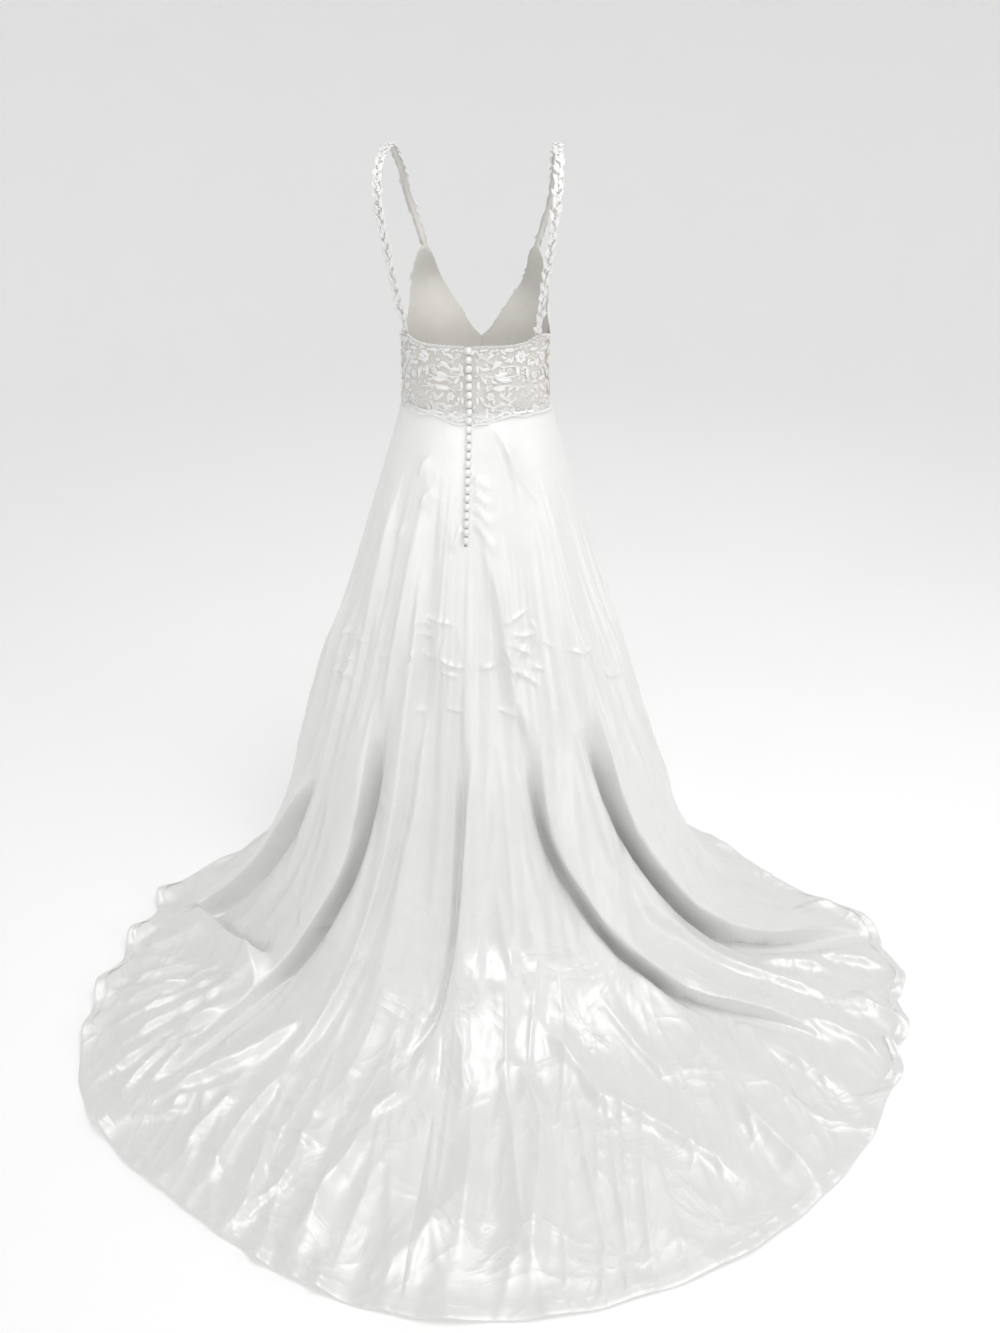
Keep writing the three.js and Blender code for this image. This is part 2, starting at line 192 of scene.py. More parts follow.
def facetNoise(x, y, seed, soft=0.04):
    # Nearly flat facets that meet along soft creases, as in crumpled satin. About 0.2 to 1.3.
    bentX = x + 0.55 * latticeNoise(x * 0.6, y * 0.6, seed + 11)
    bentY = y + 0.55 * latticeNoise(x * 0.6, y * 0.6, seed + 23)
    column = np.floor(bentX).astype(np.int64)
    row = np.floor(bentY).astype(np.int64)
    nearest = np.full(x.shape, 9.0)
    second = np.full(x.shape, 9.0)
    for stepX in (-1, 0, 1):
        for stepY in (-1, 0, 1):
            mixed = scramble(column + stepX, row + stepY, seed)
            spotX = column + stepX + (mixed & 1023) / 1023
            spotY = row + stepY + ((mixed >> 10) & 1023) / 1023
            distance = np.hypot(spotX - bentX, spotY - bentY)
            second = np.minimum(second, np.maximum(nearest, distance))
            nearest = np.minimum(nearest, distance)
    return np.sqrt(nearest ** 2 + soft) + 0.25 * bell((second - nearest) / 0.12)


# Meshes.

def linkPiece(name, mesh, material):
    mesh.polygons.foreach_set("use_smooth", [True] * len(mesh.polygons))
    mesh.materials.append(material)
    piece = bpy.data.objects.new(name, mesh)
    bpy.context.scene.collection.objects.link(piece)
    return piece


def makePiece(name, points, faces, material):
    mesh = bpy.data.meshes.new(name)
    mesh.from_pydata([tuple(p) for p in points], [], [tuple(f) for f in faces])
    mesh.validate()
    return linkPiece(name, mesh, material)


def gridFaces(columns, rows):
    # Quads of a grid whose points run down each column in turn.
    column, row = np.meshgrid(np.arange(columns - 1), np.arange(rows - 1), indexing="ij")
    a = (column * rows + row).ravel()
    return np.stack([a, a + rows, a + rows + 1, a + 1], -1)


def tubeFaces(rings, sides, start=0, closed=False, turned=False):
    # Quads between rings of points, each ring with as many points as the tube has sides.
    faces = []
    for ring in range(rings if closed else rings - 1):
        step = sides if ring < rings - 1 else -ring * sides
        for side in range(sides):
            a = start + ring * sides + side
            b = start + ring * sides + (side + 1) % sides
            faces.append((a, b, b + step, a + step) if turned else (a, a + step, b + step, b))
    return faces


def ringFan(sides, turned=False):
    # Triangles from point 0 to the first ring.
    pairs = [(1 + side, 1 + (side + 1) % sides) for side in range(sides)]
    return [(0, b, a) if turned else (0, a, b) for a, b in pairs]


def gridPiece(name, grid, material, wall=False):
    # A wall's grid runs down its outside and up its inside, so its last row meets its first.
    columns, rows, _ = grid.shape
    if wall:
        rows -= 1
        grid = grid[:, :rows]
        column, row = np.meshgrid(np.arange(columns - 1), np.arange(rows), indexing="ij")
        here, below = column * rows + row, column * rows + (row + 1) % rows
        faces = np.stack([here, here + rows, below + rows, below], -1).reshape(-1, 4)
        half = np.arange(rows // 2 - 1)
        first = np.stack([half, half + 1, rows - 2 - half, rows - 1 - half], -1)
        last = (columns - 1) * rows + first[:, ::-1]
        faces = np.concatenate([faces, first, last])
    else:
        faces = gridFaces(columns, rows)
    mesh = bpy.data.meshes.new(name)
    mesh.vertices.add(columns * rows)
    mesh.vertices.foreach_set("co", grid.astype(np.float32).ravel())
    mesh.loops.add(faces.size)
    mesh.loops.foreach_set("vertex_index", faces.astype(np.int32).ravel())
    mesh.polygons.add(len(faces))
    mesh.polygons.foreach_set("loop_start", np.arange(0, faces.size, 4, dtype=np.int32))
    mesh.polygons.foreach_set("loop_total", np.full(len(faces), 4, np.int32))
    mesh.update(calc_edges=True)
    return linkPiece(name, mesh, material)


def finishPiece(piece, nodes):
    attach(piece, "root")
    if nodes:
        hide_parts(*nodes)
    return piece


# Materials.

class Wire:
    # A shader socket that takes part in ordinary sums.
    def __init__(self, finish, socket):
        self.finish = finish
        self.socket = socket

    def maths(self, operation, first, second):
        return self.finish.node("ShaderNodeMath", {"operation": operation}, {0: first, 1: second})

    def __add__(self, other):
        return self.maths("ADD", self, other)

    def __radd__(self, other):
        return self.maths("ADD", other, self)

    def __mul__(self, other):
        return self.maths("MULTIPLY", self, other)

    def __rmul__(self, other):
        return self.maths("MULTIPLY", other, self)


class Finish:
    # The nodes of one material, or of the sky.
    def __init__(self, owner):
        owner.use_nodes = True
        self.owner = owner
        self.tree = owner.node_tree
        self.tree.nodes.clear()

    def node(self, kind, settings=None, inputs=None, output=0):
        made = self.tree.nodes.new(kind)
        for name, value in (settings or {}).items():
            if name == "stops":
                ramp = made.color_ramp
                for index, (place, colour) in enumerate(value):
                    stop = ramp.elements[index] if index < 2 else ramp.elements.new(place)
                    stop.position = place
                    stop.color = colour
            else:
                setattr(made, name, value)
        for name, value in (inputs or {}).items():
            if isinstance(value, Wire):
                self.tree.links.new(value.socket, made.inputs[name])
            else:
                made.inputs[name].default_value = value
        return Wire(self, made.outputs[output]) if made.outputs else made

    def place(self):
        return self.node("ShaderNodeTexCoord", output="Object")

    def mix(self, factor, first, second):
        settings = {"data_type": "RGBA"}
        return self.node("ShaderNodeMix", settings, {0: factor, 6: first, 7: second}, output=2)

    def scaled(self, vector, scale):
        settings = {"operation": "MULTIPLY"}
        return self.node("ShaderNodeVectorMath", settings, {0: vector, 1: scale})

    def noise(self, vector, scale, detail=2.0, roughness=0.5):
        inputs = {"Vector": vector, "Scale": scale, "Detail": detail, "Roughness": roughness}
        return self.node("ShaderNodeTexNoise", None, inputs, output="Fac")

    def bump(self, height, distance, strength=1.0):
        inputs = {"Height": height, "Distance": distance, "Strength": strength}
        return self.node("ShaderNodeBump", None, inputs)

    def close(self, inputs):
        shader = self.node("ShaderNodeBsdfPrincipled", None, inputs)
        self.node("ShaderNodeOutputMaterial", None, {"Surface": shader})
        return self.owner


def newFinish(name):
    return Finish(bpy.data.materials.new(name))


def spread(value, low, high, lowResult, highResult):
    # The settings that turn one range of values into another.
    return {"Value": value, "From Min": low, "From Max": high, "To Min": lowResult, "To Max": highResult}


satinLook = {
    "shade": (0.865, 0.870, 0.852, 1), "light": (0.908, 0.911, 0.898, 1), "metal": 0.22, "roughness": 0.41,
    "threadSize": 900, "creaseSize": 7, "creaseLow": 3.2, "creaseHigh": 1.0, "bump": 0.0007,
}


def satinFinish(name):
    finish = newFinish(name)
    place = finish.place()
    thread = finish.noise(finish.scaled(place, (1, 1, 0.12)), satinLook["threadSize"], 2)
    slub = finish.noise(place, 26, 3)
    colour = finish.mix(slub, satinLook["shade"], satinLook["light"])
    crumple = finish.noise(place, 55, 4, 0.55)
    ridges = {"Vector": place, "Scale": satinLook["creaseSize"], "Detail": 3, "Roughness": 0.55,
              "Offset": 1.0, "Gain": 1.4, "Distortion": 0.7}
    creased = finish.node("ShaderNodeTexNoise", {"noise_type": "RIDGED_MULTIFRACTAL"}, ridges, output="Fac")
    high = finish.node("ShaderNodeSeparateXYZ", None, {0: place}, output="Z")
    # The creasing is stronger where the cloth lies on the floor.
    strengths = spread(high, -1.43, -0.75, satinLook["creaseLow"], satinLook["creaseHigh"])
    low = finish.node("ShaderNodeMapRange", None, strengths)
    height = crumple * 0.9 + creased * low + thread * 0.04
    return finish.close({
        "Base Color": colour,
        "Metallic": satinLook["metal"],
        "Roughness": satinLook["roughness"] + slub * 0.10,
        "Normal": finish.bump(height, satinLook["bump"]),
        "Specular IOR Level": 0.7,
        "Sheen Weight": 0.15,
        "Sheen Roughness": 0.35,
    })


def netFinish(name, light, dark):
    finish = newFinish(name)
    place = finish.place()
    weave = finish.node("ShaderNodeTexVoronoi", {"feature": "DISTANCE_TO_EDGE"},
                        {"Vector": place, "Scale": 620}, output="Distance")
    thread = finish.node("ShaderNodeMapRange", None, spread(weave, 0.0, 0.12, 1.0, 0.0))
    cloud = finish.noise(place, 60, 2)
    colour = finish.mix(thread * 0.7 + cloud * 0.3, dark, light)
    return finish.close({
        "Base Color": colour,
        "Roughness": 0.75,
        "Normal": finish.bump(thread, 0.0004),
        "Sheen Weight": 0.2,
    })


laceLook = {
    "shade": (0.955, 0.950, 0.93, 1), "light": (0.99, 0.988, 0.98, 1), "metal": 0.22, "roughness": 0.36,
}


def laceFinish():
    finish = newFinish("laceThread")
    place = finish.place()
    stitch = finish.noise(finish.scaled(place, (1, 1, 0.5)), 1500, 2)
    tone = finish.noise(place, 90, 2)
    colour = finish.mix(tone, laceLook["shade"], laceLook["light"])
    return finish.close({
        "Base Color": colour,
        "Metallic": laceLook["metal"],
        "Roughness": laceLook["roughness"] + stitch * 0.15,
        "Normal": finish.bump(stitch, 0.0005),
        "Specular IOR Level": 0.8,
        "Sheen Weight": 0.3,
    })


satin = satinFinish("satin")
buttonSatin = satinFinish("buttonSatin")
bandNet = netFinish("ivoryNet", (0.93, 0.912, 0.87, 1), (0.80, 0.775, 0.72, 1))
sideNet = netFinish("skinNet", (0.76, 0.68, 0.55, 1), (0.62, 0.53, 0.40, 1))
# Dark net for the strip under the buttons: its dark colour is painted shade for the gaps between them.
buttonGapShadeNet = netFinish("buttonGapShadeNet", (0.60, 0.585, 0.54, 1), (0.46, 0.44, 0.39, 1))
laceThread = laceFinish()
print("materials made")


# Form of bodice and skirt.

def bodicePoints(angles, heights, out=0.0):
    # Points on the bodice, or a little way off it, from angles in degrees and heights above the floor.
    angles, heights = np.broadcast_arrays(np.asarray(angles, float), np.asarray(heights, float))
    turn = np.radians(angles)
    depth = np.where(np.cos(turn) > 0, readAlong(torso, "height", heights, "back"),
                     readAlong(torso, "height", heights, "front"))
    halfWidth = readAlong(torso, "height", heights, "halfWidth")
    fromCup = (180 - np.abs(wrapped(angles)) - cup["angle"]) / cup["spreadAngle"]
    fromHeight = (heights - cup["height"]) / cup["spreadHeight"]
    swell = cup["rise"] * np.exp(-fromCup ** 2 - fromHeight ** 2)
    x = halfWidth * np.sin(turn) + (swell + out) * np.sin(turn)
    y = depth * np.cos(turn) + (swell + out) * np.cos(turn)
    return np.stack([x, y, heights + floorLevel], -1)


def topHeight(angles):
    return readAlong(topEdge, "angle", np.abs(angles), "height")


def fallLines(angles, samples=160):
    # For each angle, the side view of the skirt: distance out from the waist, height, and length along.
    out = np.zeros((len(angles), samples))
    high = np.zeros_like(out)
    along = np.zeros_like(out)
    slopes = np.tan(np.radians(readAround(flare, angles, "slope")))
    bends = readAround(flare, angles, "bend")
    runs = readAround(flare, angles, "run")
    hems = readAround(flare, angles, "hem")
    waist = waistPoints(angles)
    wall = 0.002
    for index in range(len(angles)):
        top = waistHeight - wall
        foot = top * slopes[index]
        hemOut = hems[index] - math.hypot(waist[index, 0], waist[index, 1])
        lies = min(foot + runs[index], hemOut - 0.008)
        bendOut = foot - bends[index] * slopes[index]
        t = np.linspace(0, 1, 60)
        straight = np.stack([bendOut * t, top + (bends[index] - top) * t], -1)
        curve = np.stack([(1 - t) ** 2 * bendOut + 2 * t * (1 - t) * foot + t * t * lies,
                          (1 - t) ** 2 * bends[index]], -1)
        flat = np.stack([lies + (hemOut - lies) * t, np.zeros_like(t)], -1)
        line = np.concatenate([straight, curve[1:], flat[1:]])
        lengths = running(np.hypot(*np.diff(line, axis=0).T))
        even = np.linspace(0, lengths[-1], samples)
        out[index] = np.interp(even, lengths, line[:, 0])
        high[index] = np.interp(even, lengths, line[:, 1]) + wall
        along[index] = even
    return out, high, along


def waistPoints(angles):
    turn = np.radians(angles)
    depth = np.where(np.cos(turn) > 0, torso[0]["back"], torso[0]["front"])
    return np.stack([torso[0]["halfWidth"] * np.sin(turn), depth * np.cos(turn)], -1)


def flareGrid(angles, shares):
    # Points of the plain flare, one column for each angle, and how far down each point is.
    out, high, along = fallLines(angles)
    waist = waistPoints(angles)
    turn = np.radians(angles)
    steps = np.linspace(0, 1, out.shape[1])
    grid = np.zeros((len(angles), len(shares), 3))
    distance = np.zeros((len(angles), len(shares)))
    for index in range(len(angles)):
        reach = np.interp(shares, steps, out[index])
        grid[index, :, 0] = waist[index, 0] + reach * math.sin(turn[index])
        grid[index, :, 1] = waist[index, 1] + reach * math.cos(turn[index])
        grid[index, :, 2] = np.interp(shares, steps, high[index])
        distance[index] = np.interp(shares, steps, along[index])
    return grid, distance


# Folds and creases of the skirt.

mm = 0.001

# A path is a list of (angle from the centre back, distance down from the waist in metres). The rest is in mm:
# rise is how far the crest stands off the cloth, and steep and gentle are the widths of its two sides.
# side is 1 where the steep side faces larger angles, else -1. lean pushes the crest over that side, and dig
# sinks the cloth under it. fadeIn is the share of the path over which the fold comes up.
mainFolds = table("rise steep gentle side lean dig fadeIn path", [
    (40, 13, 62, -1, 26, 40, 0.25,  # left deep ridge
     [(32, 0.50), (31, 0.68), (31, 0.77), (32, 0.88), (34.5, 1.0), (36, 1.12), (35.5, 1.24), (34.5, 1.36),
      (34, 1.46)]),
    (16, 12, 45, -1, 8, 14, 0.25,  # left second ridge
     [(27, 0.10), (23, 0.25), (19.5, 0.43), (19.5, 0.50), (19, 0.64), (19, 0.74), (20.5, 0.87),
      (21.5, 0.98), (22, 1.08), (22, 1.16), (22, 1.25), (23, 1.36)]),
    (9, 14, 40, -1, 0, 0, 0.25,  # left side crest
     [(56, 0.04), (45, 0.23), (38, 0.45), (37.5, 0.55), (38, 0.67), (41, 0.85), (44, 1.02)]),
    (7, 10, 30, 1, 0, 0, 0.25,  # inner left line
     [(5.5, 0.40), (5.5, 0.59), (5, 0.70), (5, 0.82), (5.5, 0.99)]),
    (-14, 30, 40, 1, 0, 0, 0.25,  # inner left trough
     [(12, 0.36), (11, 0.60), (11, 0.80), (12, 0.95)]),
    (18, 9, 45, 1, 9, 14, 0.25,  # centre deep line
     [(-4.5, 0.56), (-4, 0.70), (-3.2, 0.81), (-2.2, 0.95), (-0.8, 1.06), (0.4, 1.12), (3, 1.18),
      (3.5, 1.24)]),
    (7, 10, 30, -1, 0, 0, 0.25,  # right of centre line
     [(-9.5, 0.60), (-9, 0.70), (-6.5, 0.86), (-5.5, 1.02), (-5, 1.15)]),
    (-16, 40, 50, 1, 0, 0, 0.25,  # right inner trough
     [(-22, 0.30), (-21, 0.52), (-20, 0.74), (-21, 0.90)]),
    (11, 24, 40, 1, 0, 0, 0.25,  # right inner crest
     [(-26, 0.12), (-30.5, 0.34), (-31, 0.49), (-30, 0.64)]),
    (38, 12, 60, 1, 25, 38, 0.25,  # right first roll
     [(-25, 0.56), (-26.5, 0.71), (-28.8, 0.81), (-32.5, 0.89), (-35.8, 0.96), (-38.8, 1.02), (-42.3, 1.08),
      (-45.3, 1.156), (-48.2, 1.22), (-50.8, 1.275), (-52.6, 1.34), (-53.5, 1.43)]),
    (14, 20, 36, 1, 0, 0, 0.25,  # right middle crest
     [(-44, 0.27), (-43, 0.42), (-43.5, 0.54), (-43, 0.66), (-43.5, 0.78), (-46, 0.90), (-50, 1.02),
      (-55, 1.16)]),
    (52, 16, 66, 1, 36, 46, 0.25,  # right second roll
     [(-46, 0.50), (-48, 0.66), (-50, 0.76), (-54.5, 0.87), (-60, 1.01), (-64, 1.125), (-67, 1.20),
      (-72.5, 1.31), (-77, 1.42)]),
    (14, 22, 45, 1, 0, 0, 0.25,  # right outer crest
     [(-59.5, 0.285), (-60.5, 0.45), (-64, 0.58), (-68, 0.73), (-74.5, 0.85), (-79, 1.0), (-80, 1.13)]),
    (46, 13, 48, 1, 20, 20, 0.07,  # hook over the left hem
     [(37, 1.115), (39.5, 1.13), (42, 1.15), (48, 1.165), (53, 1.175), (59, 1.20), (61.5, 1.165),
      (62, 1.08), (61, 0.97), (57, 0.84), (53, 0.70)]),
    (20, 55, 50, 1, 0, 0, 0.25,  # centre swell
     [(-9, 0.97), (-8, 1.09), (-4, 1.20), (-1, 1.25)]),
])


def smoothPath(path, perLeg=6):
    points = np.array(path, float)
    padded = np.concatenate([[2 * points[0] - points[1]], points, [2 * points[-1] - points[-2]]])
    made = []
    for leg in range(len(points) - 1):
        a, b, c, d = padded[leg:leg + 4]
        for t in np.linspace(0, 1, perLeg, endpoint=False):
            square = (2 * a - 5 * b + 4 * c - d) * t ** 2
            cube = (3 * b - a - 3 * c + d) * t ** 3
            made.append(0.5 * (2 * b + (c - a) * t + square + cube))
    made.append(points[-1])
    return np.array(made)


# How many widths a fold reaches. The trough's place and width are in widths of the steep side.
foldShape = {"reach": 2.6, "troughOff": 1.8, "troughWidth": 0.95}


def foldStrength(fold, layer, angles, along, radius):
    # How strongly each grid point feels a fold, the direction across the fold there, and its trough.
    line = smoothPath(fold["path"])
    steep, gentle = fold["steep"] * mm, fold["gentle"] * mm
    reach = foldShape["reach"] * max(steep, gentle)
    nearDown = (along > line[:, 1].min() - reach) & (along < line[:, 1].max() + reach)
    around = np.degrees(reach / np.maximum(radius, 0.05))
    near = nearDown & (angles > line[:, 0].min() - around) & (angles < line[:, 0].max() + around)
    strength = np.zeros(angles.shape)
    trough = np.zeros(angles.shape)
    across = np.zeros(angles.shape + (2,))
    if not near.any():
        return strength, across, trough
    pointAngle, pointDown, pointRadius = angles[near], along[near], radius[near]
    best = np.full(pointAngle.shape, 1e9)
    bestShare = np.zeros_like(best)
    bestSide = np.zeros_like(best)
    bestAcross = np.zeros(pointAngle.shape + (2,))
    lengths = running(np.hypot(np.radians(np.diff(line[:, 0])) * 0.5, np.diff(line[:, 1])))
    for leg in range(len(line) - 1):
        legRound = math.radians(line[leg + 1, 0] - line[leg, 0]) * pointRadius
        legDown = line[leg + 1, 1] - line[leg, 1]
        placeRound = np.radians(pointAngle - line[leg, 0]) * pointRadius
        placeDown = pointDown - line[leg, 1]
        size = legRound ** 2 + legDown ** 2 + 1e-12
        t = np.clip((placeRound * legRound + placeDown * legDown) / size, 0, 1)
        distance = np.hypot(placeRound - t * legRound, placeDown - t * legDown)
        closer = distance < best
        best[closer] = distance[closer]
        bestShare[closer] = ((lengths[leg] + t * (lengths[leg + 1] - lengths[leg])) / lengths[-1])[closer]
        bestSide[closer] = (placeRound * legDown - placeDown * legRound)[closer]
        bestAcross[closer, 0] = (legDown / np.sqrt(size))[closer]
        bestAcross[closer, 1] = (-legRound / np.sqrt(size))[closer]
    onSteep = bestSide * fold["side"] > 0
    width = np.where(onSteep, steep, gentle)
    fade = smooth(bestShare, 0, fold.get("fadeIn", 0.3)) * smooth(1 - bestShare, 0, layer["fadeOut"])
    strength[near] = np.exp(-(best / width) ** layer["power"]) * fade
    across[near] = bestAcross * fold["side"]
    hollow = bell((best - steep * foldShape["troughOff"]) / (steep * foldShape["troughWidth"]))
    trough[near] = np.where(onSteep, hollow, 0) * fade
    return strength, across, trough


# Long soft lines that fall from the hips, placed one by one.
fallingLines = table("rise steep gentle side path", [
    (7.5, 9, 30, 1, [(-5, 0.20), (-12, 0.28), (-14.5, 0.37), (-18, 0.50), (-22.5, 0.60), (-24, 0.68)]),
    (6, 8, 26, 1, [(-47, 0.07), (-45, 0.20), (-46, 0.34), (-50, 0.50), (-51.5, 0.62), (-53, 0.74)]),
    (4.5, 7, 18, -1, [(-41, 0.09), (-42, 0.24), (-44, 0.42), (-47, 0.60)]),
    (5, 7, 22, -1, [(12, 0.50), (12.5, 0.62), (13, 0.78), (14, 0.93)]),
    (4.5, 6, 20, 1, [(-1, 0.46), (-1.5, 0.60), (-2, 0.72)]),
    (5, 8, 24, 1, [(-12, 0.56), (-13, 0.70), (-13.5, 0.86), (-13, 1.00)]),
    (5, 8, 24, 1, [(-18, 0.62), (-19, 0.76), (-20.5, 0.92)]),
    (5, 8, 22, 1, [(-37, 0.52), (-38, 0.66), (-39.5, 0.80), (-43, 0.95)]),
    (7, 10, 30, 1, [(-57, 0.52), (-58, 0.66), (-61, 0.80), (-66, 0.95), (-71, 1.10)]),
    (6, 9, 24, -1, [(48, 0.40), (47, 0.58), (47.5, 0.74), (49.5, 0.92), (51, 1.04)]),
    (6, 9, 24, -1, [(57, 0.36), (55, 0.52), (55, 0.66), (57, 0.80)]),
    (7, 10, 28, -1, [(68, 0.30), (66, 0.50), (67, 0.68), (70, 0.86)]),
    (6.5, 10, 26, -1, [(78, 0.40), (77, 0.58), (78, 0.74), (79, 0.90)]),
    (6, 10, 26, 1, [(-70, 0.36), (-71, 0.54), (-75, 0.72), (-81, 0.90)]),
    (8, 10, 30, 1, [(-43, 0.93), (-51, 1.06), (-55.5, 1.17), (-58.5, 1.30), (-60, 1.41)]),
    (5, 8, 22, 1, [(-10, 0.84), (-11, 0.96), (-13, 1.06)]),
])

# Creases of the train. Left of the seam they fan out and cross, on the right they are few and straight.
trainCreases = table("rise steep gentle side path", [
    (13, 10, 32, -1, [(24.5, 1.15), (26.5, 1.27), (30, 1.38), (31.5, 1.47)]),
    (12, 9, 26, -1, [(20.5, 1.24), (21, 1.37), (20.5, 1.45), (19.5, 1.53)]),
    (9, 8, 20, 1, [(24, 1.33), (24.5, 1.42), (23.5, 1.52)]),
    (10, 7, 18, -1, [(18, 1.38), (16, 1.47), (14.5, 1.56)]),
    (11, 8, 22, 1, [(6.5, 1.29), (9, 1.40), (9.5, 1.50), (10.5, 1.58)]),
    (7, 6, 14, 1, [(19, 1.385), (15, 1.38), (10.5, 1.39)]),
    (9, 8, 24, -1, [(3.5, 1.24), (6.5, 1.29), (8.5, 1.33)]),
    (8, 7, 18, -1, [(9.5, 1.46), (8, 1.40), (7.5, 1.34)]),
    (8, 7, 18, 1, [(24.5, 1.32), (26.5, 1.37), (29, 1.41), (30, 1.46)]),
    (9, 20, 34, 1, [(-7, 1.38), (-3, 1.45), (0, 1.52), (2, 1.58)]),
    (7, 10, 26, -1, [(-6.5, 1.27), (-5.5, 1.37), (-5, 1.45), (-4, 1.56)]),
    (11, 12, 26, -1, [(-10, 1.15), (-13.5, 1.27), (-12.5, 1.38), (-11, 1.48), (-9.5, 1.61)]),
    (10, 9, 24, 1, [(-16, 1.12), (-20, 1.21), (-21, 1.28), (-24, 1.35)]),
    (9, 8, 20, 1, [(-20, 1.25), (-25, 1.34), (-29.5, 1.44), (-31, 1.52)]),
    (9, 8, 22, -1, [(-37, 1.34), (-37, 1.43), (-37, 1.53), (-36, 1.58)]),
    (7, 9, 26, 1, [(-28, 1.08), (-30, 1.20), (-32, 1.32)]),
    (8, 10, 26, 1, [(-46, 1.30), (-47, 1.40), (-47, 1.50)]),
    (13, 9, 24, -1, [(38, 1.13), (39.5, 1.24), (40.5, 1.35), (41, 1.45)]),
    (12, 8, 22, -1, [(43, 1.18), (45, 1.27), (47, 1.35), (48, 1.40)]),
    (11, 8, 20, -1, [(52, 1.19), (55, 1.24), (57, 1.32)]),
    (11, 8, 22, -1, [(35, 1.24), (37.5, 1.34), (38.5, 1.44), (38.5, 1.50)]),
    (8, 7, 16, 1, [(49, 1.22), (50, 1.30), (52, 1.37)]),
    (8, 5, 13, -1, [(40, 1.17), (42.5, 1.26), (44, 1.34), (44.5, 1.43)]),
    (7, 5, 12, -1, [(44.5, 1.17), (47, 1.23), (50.5, 1.30), (52.5, 1.37)]),
    (7, 5, 12, 1, [(41.5, 1.20), (45, 1.28), (49.5, 1.36), (50, 1.41)]),
    (7, 5, 12, -1, [(55, 1.21), (58.5, 1.24), (61.5, 1.28)]),
    (8, 5, 13, -1, [(36.5, 1.22), (36.5, 1.32), (36, 1.42), (34.5, 1.51)]),
    (6, 5, 11, 1, [(47, 1.20), (53, 1.28), (55.5, 1.34)]),
    (6, 4, 10, -1, [(38, 1.20), (43, 1.23), (46, 1.27)]),
    (6, 4, 10, -1, [(33, 1.30), (36, 1.36), (40.5, 1.40)]),
    (6, 4, 10, 1, [(28.5, 1.37), (25, 1.44), (24.5, 1.50)]),
    (6, 4, 10, -1, [(27, 1.42), (30, 1.47), (33, 1.50)]),
    (5, 4, 10, 1, [(22, 1.30), (17, 1.335), (12, 1.33)]),
    (5, 4, 10, 1, [(17.5, 1.44), (12, 1.455), (8, 1.49)]),
    (6, 4, 10, -1, [(14.5, 1.36), (13, 1.44), (15, 1.52), (16, 1.57)]),
    (5, 4, 10, -1, [(23, 1.45), (19, 1.48), (16, 1.50)]),
    (10, 8, 20, 1, [(-66.5, 1.30), (-68.5, 1.39), (-68.5, 1.44)]),
    (11, 8, 20, -1, [(-62, 1.38), (-61, 1.45), (-60, 1.50)]),
    (9, 8, 18, 1, [(-54, 1.34), (-55, 1.44), (-54, 1.50)]),
    (9, 10, 26, 1, [(-58.5, 1.20), (-63.5, 1.28), (-64.5, 1.36)]),
    (8, 10, 24, 1, [(-72, 1.22), (-78, 1.28), (-80, 1.34)]),
    (10, 9, 22, -1, [(64, 1.04), (66, 1.12), (66, 1.20)]),
    (9, 8, 20, -1, [(70, 1.00), (72, 1.08), (72, 1.14)]),
])

